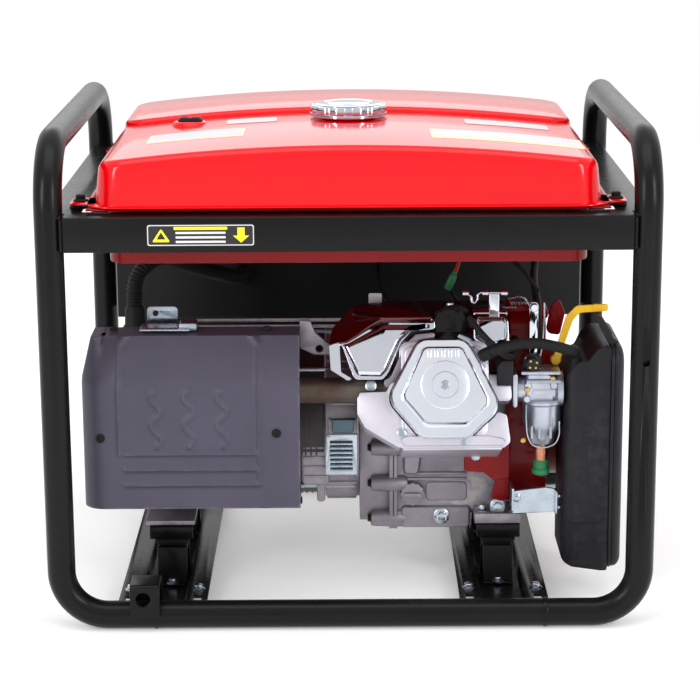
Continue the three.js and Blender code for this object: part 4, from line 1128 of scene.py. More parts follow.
def buildCrankcase():
    refit("crankcase", "castAluminium", 1.6, 2)
    parts = []
    for name, depth, thickness in (("joint_flange", 53.2, 4.5), ("cover_flange", 47.7, 5)):
        flange = plate(name, caseSection(5), thickness, onSide("right", depth), 1.2)
        parts.append(carve(flange, plate("cutter", caseSection(-5), 30, onSide("right", 40))))
    for y, z in bossSpots:
        parts.append(turned("boss", bossProfile, onSide("right", 0, y, z), 24))
    for i, z in enumerate(nearRibs):
        x0, x1 = (66, 142) if i else (58, 146)
        parts.append(plate("rib", rectangle(x0, x1, z, z + 3.2, 1.4), 4, onSide("near", 104), 1))
    pad = [(62, 64, 4), (146, 64, 6), (146, 92, 5), (62, 92, 5)]
    parts.append(stack("drain_pad", pad, [(0, 0), (4, 0), (7, 1.2), (7.8, 2)], onSide("near", 102)))
    parts.append(stack("gallery", [(64, 132, 8), (84, 132, 8), (88, 160, 8), (76, 178, 6), (64, 178, 4)],
            [(0, 0), (4, 0), (9, 1.6), (10.2, 3)], onSide("near", 103)))
    parts.append(stack("side_panel", rectangle(92, 142, 98, 122, 6), [(0, 0), (1.5, 0), (2.7, 1)],
            onSide("near", 104)))
    low, high = (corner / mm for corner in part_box("piston"))
    radius = (high.x - low.x) / 2 + 2
    bore = turned("cutter", [(0, 20), (radius, 20), (radius, 200), (0, 200)],
            onSide("bank", 0, (low.x + high.x) / 2), 64)
    give(smooth(carve(join("crankcase_castings", parts), bore)), "castAluminium")
    bolts("cover_bolts", [onSide("left", -26.5, -y, z) for y, z in bossSpots], 0.72, "hex", "softBlack")
    bolts("drain_bolt", [onSide("near", 110.2, 111, 80)], 1.15)
    bolts("sump_bolts", [onSide("near", 106, 71, 171), onSide("near", 106, 80, 140)], 0.6)
    refit("crankcase_cover", "castAluminium", 2.2, 3)
    webs = []
    for angle in range(0, 360, 45):
        web = plate("web", rectangle(30, 78, -2.5, 2.5, 2), 9, Matrix(), 1)
        turn = Matrix.Rotation(math.radians(angle + 12), 4, "Z")
        web.matrix_world = onSide("left", -3.5 - 9, -crankAxis.y, crankAxis.z) @ turn
        webs.append(settle(web))
    give(join("cover_webs", webs), "castAluminium")
    bolts("foot_bolts", [onSide("top", 92, x, y) for x in (160, 196) for y in (-125, 95)], 1.0)
    give(plate("bracket_lug", rectangle(168, 186, 92, 110, 6), 12, onSide("near", 128), 1.5),
            "castAluminium")
    bolts("lug_bolt", [onSide("near", 140.2, 177, 102)], 1.05)


def buildDipstick():
    low, high = (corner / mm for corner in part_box("oil_dipstick"))
    x, z = (low.x + high.x) / 2, (low.z + high.z) / 2
    outline = []
    for i in range(48):
        angle = 2 * math.pi * i / 48
        reach = 14.2 + 0.7 * math.cos(angle * 12)
        outline.append((x + reach * math.cos(angle), z + reach * math.sin(angle), 0))
    cap = plate("cap", outline, 8, onSide("near", 105.4), 1.2)
    grip = plate("grip", rectangle(x - 11, x + 11, z - 2.6, z + 2.6, 2), 5, onSide("near", 113), 1)
    stick = rod("stick", (x, -104, z), (x, low.y + 60 + 12, z), 2.6, 12)
    thread = turned("thread", [(0, -8)] + [(7.3 - 0.8 * (i % 2), -8 + i) for i in range(10)] + [(0, 1)],
            onSide("near", 105.5, x, z), 24)
    give(join("dipstick_cap", [cap, grip, stick, thread]), "castAluminium", "dipstick", ("oil_dipstick",))


# blower housing and recoil starter
quarters = (45, 135, 225, 315)  # degrees round the crank axis of each ring of four fixings


def buildBlower():
    refit("fan_housing", "engineRed", 2.5, 3, 40)
    deflector = stack("deflector", [(136, 176, 3), (136, 148, 3), (160, 146, 8), (172, 136, 6),
            (190, 140, 4), (190, 186, 4), (176, 184, 4), (170, 176, 6)], [(0, 0), (3, 0), (4.2, 0.8)],
            onSide("near", 145))
    wing = plate("wing", [(168, 112, 6), (190, 106, 8), (190, 190, 4), (172, 186, 8), (178, 150, 16)], 5,
            onSide("near", 138), 1.4)
    back = plate("back", [(188, 104, 6), (236, 104, 10), (236, 250, 6), (188, 250, 6)], 3,
            onSide("near", 122), 1)
    flare = [plate("flare", [(196, 300, 5), (232, 296, 5), (228, 333, 8), (198, 338, 8)], 4,
            onSide("near", 60), 1.3),
            plate("flare", [(238, 296, 8), (256, 294, 4), (262, 322, 4), (254, 341, 5), (244, 330, 10)], 4,
            onSide("near", 60), 1.3),
            plate("crown", [(188, 322, 5), (238, 322, 5), (238, 336, 5), (188, 340, 5)], 40,
            onSide("near", 60), 2)]
    give(join("blower_sheet", [deflector, wing, back, *flare]), "engineRed")
    bolts("blower_bolts", [onSide("near", 143, 183, 168), onSide("near", 149.3, 150, 166),
            onSide("right", 234.2, -60, 292), onSide("right", 234.2, 60, 130)], 0.62)
    refit("recoil_cover", "engineRed", 2.2, 3, 30)
    spots = [onSide("right", 234.3, crankAxis.y + 84 * math.cos(a), crankAxis.z + 84 * math.sin(a))
            for a in (math.radians(angle) for angle in quarters)]
    tabs = [turned("tab", [(0, 0), (9, 0), (9, 2.5), (8, 3), (0, 3)], spot, 20) for spot in spots]
    give(join("recoil_tabs", tabs), "engineRed")
    bolts("recoil_bolts", [spot @ Matrix.Translation((0, 0, 3 * mm)) for spot in spots], 0.62)
    low, high = (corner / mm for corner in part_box("recoil_grip"))
    middle, z = (low.x + high.x) / 2, (low.z + high.z) / 2
    y = high.y - 10
    handle = [(0, -33), (7, -33), (9.5, -30), (10, -22), (8.4, -12), (9.4, -4), (9.4, 4), (8.4, 12),
            (10, 22), (9.5, 30), (7, 33), (0, 33)]
    grip = turned("grip", handle, toward((middle, y, z), (0, 1, 0), (0, 0, 1)), 32)
    rope = [rod("rope", (middle, low.y, z), (middle, y - 6, z), 2.6, 12),
            turned("stop", [(0, 0), (4.5, 0), (6, 5), (6, 9), (0, 9)],
            toward((middle, y - 16, z), (0, 0, 1), (1, 0, 0)), 20)]
    give(join("starter_grip", [grip, *rope]), "blackPlastic", "recoil_grip", ("recoil_grip",))


buildCrankcase()
buildDipstick()
buildBlower()
print("crankcase and blower built")


# plug lead, hoses
def ribbed(name, points, radius, pitch=4.2, sides=24, rise=1.2):  # corrugated conduit
    path = fillet([(*point, 0) for point in points], closed=False)
    curve = curveObject(name, [path], closed=False, curved=True)
    curve.data.resolution_u = 24
    pick(curve)
    bpy.ops.object.convert(target="MESH")
    line = evenly([vertex.co.copy() / mm for vertex in bpy.context.object.data.vertices], pitch / 4)
    bpy.data.objects.remove(bpy.context.object)
    tubeCurve = curveObject(name, [line], closed=False)
    tubeCurve.data.dimensions = "3D"
    tubeCurve.data.bevel_depth = radius * mm
    tubeCurve.data.bevel_resolution = sides // 4 - 1
    tubeCurve.data.use_fill_caps = True
    for i, point in enumerate(tubeCurve.data.splines[0].points):
        point.radius = 1.0 if i % 4 in (0, 1) else 1 - rise / radius
    return smooth(toMesh(tubeCurve), 50)


def buildBoot():
    place = toward(crankAxis + outAxis * 178 + Vector((117, 0, 0)), (1, 0, 0), -outAxis)
    body = [(0, 57), (11, 57), (13.5, 60), (13.5, 64), (11.5, 66), (11.5, 70), (13, 72), (14, 76),
            (14, 84), (12.5, 90), (12.8, 94), (9, 98), (0, 98)]
    boot = turned("boot", body, place, 32)
    elbow = [crankAxis + outAxis * 178 + bankUp * 88 + Vector((x, 0, 0)) + bankUp * up - outAxis * back
            for x, up, back in ((110, 4, 0), (120, 8, 4), (130, 9, 12), (139, 5, 22))]
    hood = stack("hood", [(98, 64, 4), (134, 64, 4), (139, 84, 7), (132, 97, 6), (102, 97, 6),
            (94, 84, 6)], [(0, 0), (10, 0), (18, 2), (22, 5)], onSide("bank", 168))
    cover = tube("elbow", elbow, 7.5, 20, curved=True)
    give(join("plug_boot", [boot, cover, hood]), "softBlack", replaces=("spark_plug_boot",))
    lead = [(139, -182, 343), (150, -196, 331), (163, -203, 318), (176, -200, 305), (187, -186, 297),
            (193, -160, 296), (196, -130, 300), (198, -100, 312), (200, -80, 330)]
    give(tube("plug_lead", lead, 3.8, 16, curved=True), "softBlack", replaces=("ignition_lead",))
    give(plate("lead_clip", rectangle(158, 168, 309, 322, 3), 3, onSide("near", 207), 0.8), "softBlack")


hoseRoutes = {
    "breather": [(153, -203, 303), (164, -210, 310), (188, -213, 318), (212, -213, 320), (238, -210, 315),
                 (253, -202, 309), (261, -186, 304), (263, -176, 294), (263, -176, 281)],
    "fuel": [(240, 120, 376), (240, 120, 364), (239, 106, 350), (234, 60, 345), (226, -60, 345),
            (224, -112, 340),
             (223, -126, 312), (222, -126, 278), (222, -126, 262)],
    "conduit": [(-264, -15, 292), (-264, -15, 330), (-261, -12, 354), (-250, -2, 370), (-232, 25, 375),
                (-214, 80, 358), (-185, 128, 338), (-154, 164, 322), (-144, 184, 317), (-142, 194, 316),
                (-142, 204, 316)],
}


hoseSizes = {"breather": 6.4, "breatherCuff": 7.6, "fuel": 4.8, "conduit": 10, "conduitRise": 1.6,
        "cable": 2.6}
cuffProfiles = {
    "alternator": [(0, 284), (15, 284), (15, 296), (12.5, 300), (12, 318), (10, 322), (0, 322)],
    "panel": [(0, 0), (14, 0), (14, 5), (11.5, 9), (11.5, 16), (0, 16)],
}


def buildHoses():
    h = hoseSizes
    route = hoseRoutes["breather"]
    breather = tube("breather_tube", route, h["breather"], 24, curved=True)
    cuffs = [tube("cuff", end, h["breatherCuff"], 24) for end in (route[:2], route[-2:])]
    give(join("breather_tube", [breather, *cuffs]), "softBlack", replaces=("breather_hose",))
    fuel = tube("fuel_line", hoseRoutes["fuel"], h["fuel"], 20, curved=True)
    give(fuel, "softBlack", replaces=("fuel_hose",))
    clips = [turned("clip", [(5, 0), (6.6, 0), (6.6, 6), (5, 6), (5, 0)], onSide("top", z, x, y), 20)
            for x, y, z in ((240, 120, 366), (222, -126, 264))]
    give(join("fuel_hose_clips", clips), "zinc")
    conduit = ribbed("conduit", hoseRoutes["conduit"], h["conduit"], rise=h["conduitRise"])
    boots = [turned("cuff", cuffProfiles["alternator"], onSide("top", 0, -264, -15), 28),
            turned("cuff", cuffProfiles["panel"], toward((-142, 205, 316), (1, 0, 0), (0, 0, 1)), 28)]
    give(join("harness_conduit", [conduit, *boots]), "softBlack", replaces=("cable_conduit",))
    plug = block("plug", (119, -64, 350), (128, -56, 370), 1.5)
    shoulder = block("shoulder", (120.5, -62, 368), (126.5, -58, 374), 1)
    turn = Matrix.Rotation(math.radians(24), 4, "Y")
    centre = Matrix.Translation(Vector((123, -60, 361)) * mm)
    connector = join("wire_connector", [plug, shoulder])
    connector.matrix_world = centre @ turn @ centre.inverted()
    give(settle(connector), "green")
    wires = [tube("wire", [(127 + i * 3, -60, 371), (131 + i * 2, -58, 380), (134 + i * 2, -50, 392),
            (136, -20, 408), (137, 20, 416)], 1.1, 10, curved=True) for i in (0, 1)]
    give(join("connector_wires", wires), "red")
    looms = [
        [(123, -60, 352), (128, -50, 338), (150, -30, 322), (180, -20, 312)],
        [(70, 207, 350), (72, 150, 366), (90, 60, 380), (125, 0, 392), (165, -30, 398), (205, -70, 380),
         (228, -84, 352)],
        [(40, 207, 330), (40, 160, 316), (48, 100, 304), (70, 50, 298), (96, 20, 292)],
    ]
    cables = [tube("cable", loom, h["cable"], 12, curved=True) for loom in looms]
    give(join("wiring_loom", cables), "softBlack")
    give(plate("wiring_tag", rectangle(24, 40, 330, 346, 2), 1, onSide("near", 58), 0.3), "labelSilver")


buildBoot()
buildHoses()
print("leads and hoses built")


# carburettor
carb = {"y": -165, "z": 254}


def buildCarburettor():
    y, z = carb["y"], carb["z"]
    insulator = plate("insulator", [(172, 262, 3), (191, 262, 3), (191, 292, 3), (178, 292, 3),
            (172, 284, 3)], 34, onSide("near", 150), 1.2)
    give(insulator, "blackPlastic")
    flange = plate("flange", rectangle(190.5, 196, z - 18, z + 22, 3), 40, onSide("near", 145), 1)
    throat = turned("throat", [(0, 195), (15, 195), (16, 198), (16, 212), (18, 214), (18, 240), (21, 243),
            (21, 249.5), (0, 249.5)], onSide("right", 0, y, z), 40)
    body = stack("body", [(203, 236, 6), (240, 236, 6), (240, 272, 4), (232, 277, 4), (206, 277, 4)],
            [(0, 0), (30, 0), (33, 1.5), (34.5, 3)], onSide("near", 148))
    lid = plate("lid", [(200, 275, 1.5), (246, 275, 1.5), (246, 279, 1.5), (200, 279, 1.5)], 36,
            onSide("near", 148), 0.8)
    bowlRim = [(0, 244), (24, 244), (25.5, 242), (25.5, 239), (23, 237), (22.6, 232), (22.6, 214),
            (21, 208), (17, 201), (15.5, 192), (14, 189), (0, 189)]
    bowl = turned("bowl", bowlRim, onSide("top", 0, 226, y), 48)
    ribs = [plate("rib", rectangle(226 + dx - 1.6, 226 + dx + 1.6, 198, 214, 1.4), 6, onSide("near", 181),
            0.9) for dx in (-13, -4, 9)]
    lugs = [turned("lug", [(0, 0), (4.5, 0), (4.5, 7), (3.5, 8), (0, 8)], onSide("near", 178, x, h), 20)
            for x, h in ((208, 262), (238, 262), (207, 246))]
    shaft = rod("shaft", (206, -184, 267), (246, -184, 267), 2.4, 14)
    nipple = [plate("arm", rectangle(217, 227, z - 10, z, 2), 22, onSide("near", 124), 1),
            turned("barb", [(0, 244), (4, 244), (4, 250), (5, 252), (4, 256), (4, 260), (0, 260)],
            onSide("top", 0, 222, -126), 20)]
    pieces = [flange, throat, body, lid, bowl, *ribs, *lugs, shaft, *nipple]
    give(join("carburettor_castings", pieces), "carbAlloy", replaces=("carburetor",))
    bolts("carburettor_screws", [onSide("near", 186, 207, 258), onSide("near", 183, 203, 196),
            onSide("near", 182.5, 237, 270)], 0.7, "pan", "brass")
    knob = [turned("knob", [(0, 0), (8, 0), (9, 1.5), (9, 8), (7, 10), (0, 10)],
            onSide("near", 180, 213, 289), 24), plate("mount", rectangle(203, 224, 279, 296, 4), 8,
            onSide("near", 166), 1.2)]
    give(join("idle_stop_block", knob), "blackPlastic")
    specks = [onSide("near", 190, 213 + 5 * math.cos(a), 289 + 5 * math.sin(a))
            for a in (0.5, 2.2, 3.9, 5.4)]
    bolts("idle_screws", [*specks, onSide("near", 174.2, 206, 293)], 0.32, "pan", "brass")
    clip = tube("bowl_clip", [(206, -186, 240), (206, -189, 220), (209, -189, 200), (216, -186, 190),
            (236, -186, 190), (243, -188, 198), (245, -187, 220)], 1.0, 10, curved=True)
    give(clip, "zinc")
    sleeve = [(0, 166), (7.2, 166), (7.5, 167), (7.5, 186), (6.5, 188.6), (0, 188.6)]
    give(turned("solenoid_sleeve", sleeve, onSide("top", 0, 226, y), 32), "copper",
            replaces=("fuel_solenoid",))
    cap = [(0, 148.5), (7, 148.5), (10.5, 151), (10.5, 156), (8.6, 158), (8.6, 165), (7.8, 167.5),
            (0, 167.5)]
    give(turned("solenoid_cap", cap, onSide("top", 0, 226, y), 28), "green")


def buildLevers():
    lever = [(238, 280, 4), (248, 280, 4), (252, 303, 8), (262, 333, 9), (270, 342, 6), (303, 344, 3),
            (303, 352, 3), (266, 350.5, 8), (254, 338, 10), (244, 304, 8)]
    arm = plate("choke_arm", lever, 3, onSide("near", 151), 0.6)
    boss = turned("choke_boss", [(0, 147), (6, 147), (6, 154), (5, 155), (0, 155)],
            onSide("near", 0, 243, 285), 24)
    tip = plate("choke_tip", rectangle(284, 303, 344.2, 352, 2.5), 5, onSide("near", 150), 1)
    give(join("choke_handle", [arm, boss, tip]), "yellow", "choke", ("choke_lever",))
    governor = plate("governor_plate", [(213, 288, 4), (222, 288, 4), (223, 352, 5), (212, 352, 5)], 2.4,
            onSide("near", 138), 0.6, (circle(1.6, 217.5, 300, 14), circle(1.6, 217.5, 310, 14)))
    hub = turned("hub", [(0, 136), (5, 136), (5, 144), (4, 146), (0, 146)], onSide("near", 0, 217.5, 346),
            24)
    give(join("governor_lever", [governor, hub]), "chrome", "governor", ("governor_arm",))
    throttle = plate("throttle_plate", [(204, -170, 3), (226, -172, 5), (226, -158, 5), (204, -160, 3)],
            2.2, onSide("top", 277.4), 0.5)
    pin = turned("pin", [(0, 277.5), (3.8, 277.5), (3.8, 282), (3, 283), (0, 283)],
            onSide("top", 0, 218, -165), 20)
    give(join("throttle_butterfly_lever", [throttle, pin]), "zinc", "throttle", ("throttle_lever",))
    post = plate("governor_post", [(164, 330, 2), (176, 330, 2), (176, 366, 3), (164, 366, 3)], 3,
            onSide("near", 146), 0.8)
    shelf = plate("governor_shelf", rectangle(146, 186, 338, 341, 1), 46, onSide("near", 100), 0.6)
    hookEnds = [(134, -146, 362), (142, -147, 361), (146, -147, 353), (150, -147, 356), (152, -148, 364),
            (164, -148, 365), (176, -148, 365), (186, -147, 364)]
    link = tube("governor_link", hookEnds, 1.5, 12, curved=True)
    collars = [turned("collar", [(0, 0), (3.8, 0), (3.8, 7), (0, 7)],
            toward((x, -148, 365), (0, 1, 0), (0, 0, 1)), 18) for x in (156, 178, 133)]
    give(join("governor_linkage", [post, shelf, link, *collars]), "chrome")
    rods = [tube("rod", [(186, -148, 358), (204, -147, 359), (211, -146, 350)], 1.1, 10, curved=True),
            tube("rod", [(229, -144, 352), (229, -145, 330), (227, -146, 300), (224, -148, 283),
            (222, -156, 279)], 1.1, 10, curved=True), tube("rod", [(180, -146, 347), (196, -146, 347)],
            1.2, 10)]
    give(join("governor_rods", rods), "zinc")
    spring = [(188 + i * 0.45, -148 + 2.6 * math.cos(i * 0.7), 353 + 2.6 * math.sin(i * 0.7))
            for i in range(60)]
    give(tube("governor_spring", spring, 0.5, 8), "steel")


buildCarburettor()
buildLevers()
print("carburettor and levers built")


# air cleaner
filterShape = {"left": 250, "seam": 309, "right": 321, "near": -185, "deep": -52, "bottom": 35, "top": 307}


def buildAirCleaner():
    f = filterShape
    seam = f["seam"] - 4.5
    outline = [(f["left"], 46, 12), (262, 40, 10), (296, f["bottom"], 10), (seam, f["bottom"], 3),
            (seam, f["top"], 3), (290, f["top"], 12), (278, 291, 6), (266, 290, 6), (f["left"], 268, 14)]
    plan = [(f["left"] - 0.1, f["near"], 15), (seam + 2, f["near"], 1), (seam + 2, -95, 1),
            (f["left"] - 0.1, -95, 8)]
    body = plate("body", outline, 110, onSide("near", 90))
    carve(body, plate("cutter", plan, 300, onSide("top", 20)), "INTERSECT")
    soften(body, 2.4, 3)
    upper = [(f["left"] + 1.5, 258, 3), (seam - 0.4, 258, 3), (seam - 0.4, f["top"] - 0.5, 3),
            (290, f["top"] - 0.5, 12), (280, 294, 10), (274, 281, 12), (f["left"] + 2, 268, 6)]
    crown = stack("crown", upper, [(0, 3), (3, 0), (50, 0)], onSide("near", -f["deep"]))
    spigot = turned("spigot", [(6.2, 262), (8.5, 262), (8.5, 272), (6.8, 274), (6.2, 281), (6.2, 262)],
            onSide("top", 0, 263, -176), 28)
    give(join("air_cleaner_shell", [body, crown, spigot]), "blackPlastic", replaces=("air_cleaner_case",))
    lipFace = [(f["near"] - 2.5, f["bottom"] + 2, 12), (-92.5, f["bottom"] + 2, 12), (-92.5, 268, 4),
            (-49.5, 268, 8), (-49.5, f["top"] + 1, 12), (f["near"] - 2.5, f["top"] + 1, 22)]
    give(plate("air_cleaner_lip", lipFace, 4, onSide("right", 304.8), 1.2), "blackPlastic")
    face = [(f["near"] - 2, f["bottom"] + 3, 12), (-93, f["bottom"] + 3, 12), (-93, 266, 4), (-50, 266, 8),
            (-50, f["top"] + 2, 12), (f["near"] - 2, f["top"] + 2, 24)]
    dome = [(2 + 9.6 * math.sin(a), 16 * (1 - math.cos(a)))
            for a in [math.pi / 2 * i / 7 for i in range(8)]]
    cover = stack("cover", face, [(0, 0), (1.8, 0), *dome], onSide("right", 309.3))
    panels = [stack("panel", rectangle(-172, -104, z0, z1, 8), [(0, 0), (0.2, 0), (0.7, 1.5)],
            onSide("right", 320.4)) for z0, z1 in ((56, 140), (152, 240))]
    give(join("air_cleaner_lid", [cover, *panels]), "blackPlastic", "air_cover", ("air_cleaner_cover",))
    strap = [(301, 310, 0.6), (313, 310, 0.8), (313.6, 312, 0.8), (308, 316, 3), (292, 342.6, 1.5),
            (285.6, 340.8, 1.5)]
    clip = plate("strap", strap, 12, onSide("near", 164), 0.6)
    teeth = []
    for i in range(7):
        spot = Vector((304.5, -170, 322)).lerp(Vector((293.5, -170, 340)), i / 6)
        place = toward(spot, (0, 1, 0), Vector((-11, 0, 18)))
        teeth.append(plate("tooth", rectangle(-5, 5, -0.8, 0.8, 0.5), 1.2, place, 0.3))
    give(join("clip_strap", [clip, *teeth]), "blackPlastic", "air_clip", ("air_cleaner_clip",))
    nut = [turned("nut", [(0, 0), (5, 0), (5.5, 1), (4.2, 4), (0, 4)],
            onSide("right", f["right"], -120, 72), 20), plate("wing", rectangle(-131, -109, 69, 75, 2.8),
            2.4, onSide("right", 322.6), 0.9)]
    give(join("lid_wing_nut", nut), "steel", "air_cover")
    give(plate("case_rib", rectangle(262, 300, 92, 94, 0.9), 1.4, onSide("near", 184.6), 0.5),
            "blackPlastic")
    bracket = stack("bracket", [(192, 100, 2), (244, 102, 4), (244, 131, 4), (232, 133, 4), (192, 128, 2)],
            [(0, 0), (2.2, 0), (3, 0.7)], onSide("near", 163))
    tab = plate("bracket_tab", rectangle(-167, -133, 101, 132, 3), 2.6, onSide("right", 192), 0.7)
    end = plate("bracket_end", rectangle(-176, -160, 101, 131, 3), 2.4, onSide("right", 243), 0.7)
    give(join("air_cleaner_stay", [bracket, tab, end]), "zinc", replaces=("air_cleaner_bracket",))
    bolts("stay_bolts", [onSide("right", 245.4, -168, 123), onSide("right", 245.4, -168, 109),
            onSide("near", 166, 198, 120)], 0.6)


buildAirCleaner()
print("air cleaner built")

# alternator
alternator = {
    "bellRibs": 12, "laminations": 26, "laminationPitch": 6.6, "tieReach": 103, "coils": 16,
    "coverRibs": 10, "boltReach": 97,
}


def aroundX(name, profile, steps=72):  # turned about the crank axis, profile of (radius, x)
    return turned(name, profile, onSide("right", 0, crankAxis.y, crankAxis.z), steps)


def spoked(obj, angle):  # turned about the crank axis
    place = Matrix.Translation(crankAxis * mm)
    obj.matrix_world = place @ Matrix.Rotation(math.radians(angle), 4, "X") @ place.inverted()
    return settle(obj)


def buildAlternator():
    a = alternator
    ringProfile = [(92, -30), (104, -30), (106, -28), (106, 6), (104, 11.5), (92, 11.5), (92, -30)]
    adaptor = aroundX("adaptor", ringProfile)
    plateFace = aroundX("adaptor_face", [(30, 4), (93, 4), (93, 11.5), (30, 11.5), (30, 4)])
    parts = [adaptor, plateFace]
    y, z = crankAxis.y, crankAxis.z
    for i in range(a["bellRibs"]):
        parts.append(spoked(block("rib", (-28, y - 3, z + 103), (8, y + 3, z + 108), 1.2),
                360 / a["bellRibs"] * i + 9))
    give(join("alternator_bellhousing", parts), "castAluminium", replaces=("alternator_adaptor",))
    core = [(63, -214), (100, -214), (100, -31), (63, -31), (63, -214)]
    inside = aroundX("stator_core", core)
    laminations = []
    for i in range(a["laminations"]):
        x = -206 + i * a["laminationPitch"]
        laminations.append(aroundX("lamination", [(99, x), (101.2, x), (101.2, x + 2), (99, x + 2),
                (99, x)], 48))
    give(join("stator_stack", [inside, *laminations]), "statorGrey", replaces=("stator",))
    ties, coils = [], []
    for angle in quarters:
        tie = rod("tie", (-214, y, z + a["tieReach"]), (6, y, z + a["tieReach"]), 3.4, 16)
        ties.append(spoked(tie, angle))
    give(join("alternator_tie_rods", ties), "zinc")
    bend = [(-36, -8, 78), (-26, -7, 80), (-24, 0, 82), (-26, 7, 80), (-36, 8, 78)]
    for i in range(a["coils"]):
        bar = tube("coil", [(x, y + across, z + out) for x, across, out in bend], 5, 12, curved=True)
        coils.append(spoked(bar, i * 360 / a["coils"]))
    give(join("winding_ends", coils), "copperWire")
    refit("alternator_end_cover", "castAluminium", 1.8, 2, 30)
    ribs = []
    for i in range(a["coverRibs"]):
        rib = block("rib", (-277.5, y - 2, z + 28), (-273, y + 2, z + 98), 1)
        ribs.append(spoked(rib, 360 / a["coverRibs"] * (i + 0.5)))
    band = aroundX("band", [(103, -221), (108, -221), (108.6, -219), (108.6, -216.5), (103, -216.5),
            (103, -221)])
    hub = aroundX("hub", [(0, -278), (20, -278), (24, -275), (24, -272), (0, -272)])
    give(join("end_cover_ribs", [*ribs, band, hub]), "castAluminium")
    spots = []
    for angle in quarters:
        lean = math.radians(angle)
        across, out = a["boltReach"] * math.sin(lean), a["boltReach"] * math.cos(lean)
        spots.append(onSide("left", 275.2, -(y - across), z + out))
    bolts("end_cover_bolts", spots, 0.75)


louvre = {"x0": -29, "x1": 9, "z0": 136, "z1": 187, "y": 122, "slots": 7}


def buildLouvre():
    v = louvre
    holes = []
    pitch = (v["z1"] - v["z0"] - 12) / v["slots"]
    for i in range(v["slots"]):
        z = v["z0"] + 7 + pitch * i
        holes.append(rectangle(v["x0"] + 6, v["x1"] - 6, z, z + pitch * 0.5, 1.6))
    panel = plate("panel", rectangle(v["x0"], v["x1"], v["z0"], v["z1"], 2), 1.4, onSide("near", v["y"]),
            0.4, holes)
    blades = []
    for hole in holes:
        z = hole[0][1]
        blade = [(v["y"] + 0.5, z + pitch * 0.5 + 0.8), (v["y"] + 5, z + 0.6), (v["y"] + 4, z - 0.2),
                (v["y"] - 0.5, z + pitch * 0.5 - 0.4)]
        outline = [(-y, height, 0.3) for y, height in blade]
        blades.append(plate("blade", outline, v["x1"] - v["x0"] - 11, onSide("right", v["x0"] + 5.5)))
    give(join("vent_louvre", [panel, *blades]), "zinc")
    # a soft black block behind the louvre slots: painted shade standing in for the dark inside of the vent
    back = block("vent_back", (v["x0"] + 2, -120, v["z0"] + 2), (v["x1"] - 2, -104, v["z1"] + 2), 1)
    give(back, "softBlack")
    upper = [stack("cover", rectangle(-21, 5, 189, 204, 3), [(0, 0), (3, 0), (4, 1)], onSide("near", 120)),
            plate("lip", rectangle(-23, 7, 203, 206, 1), 8, onSide("near", 118), 0.8)]
    give(join("terminal_window", upper), "windowBlue")
    frameParts = [block("post", (-26, -122, 180), (-22.5, -102, 207), 1),
            block("post", (8, -122, 180), (11, -102, 207), 1),
            stack("bellhousing_pad", rectangle(-58, -24, 120, 196, 6), [(0, 0), (14, 0), (16, 2)],
            onSide("near", 96))]
    for z in (130, 142, 154, 166, 178):
        frameParts.append(block("rib", (-56, -113.5, z), (-26, -106, z + 3), 0.9))
    frameParts.append(stack("boss", rectangle(-40, -30, 96, 124, 4), [(0, 0), (10, 0), (11, 1)],
            onSide("near", 92)))
    give(join("bellhousing_details", frameParts), "castAluminium")


# isolators
isolator = {"halfX": 19, "halfY": 20, "low": 50.5, "high": 76, "rings": (55, 62, 69), "ringHeight": 3.4}


def buildIsolators():
    s = isolator
    for node in ("engine_mount_rear", "engine_mount_front", "alternator_mount_rear",
            "alternator_mount_front"):
        low, high = (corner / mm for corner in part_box(node))
        x, y = (low.x + high.x) / 2, (low.y + high.y) / 2
        refit(node, "powderBlack", 1.0)
        a, b = s["halfX"], s["halfY"]
        rubber = [block("rubber", (x - a, y - b, s["low"]), (x + a, y + b, s["high"]), 3, 3)]
        a, b = a + 2, b + 2
        rubber += [block("ring", (x - a, y - b, z), (x + a, y + b, z + s["ringHeight"]), 1.5)
                for z in s["rings"]]
        give(join(node + "_rubber", rubber), "softBlack")
        bolts(node + "_bolts", [onSide("top", 6.5, x, y - 31), onSide("top", 6.5, x, y + 31)], 0.85)


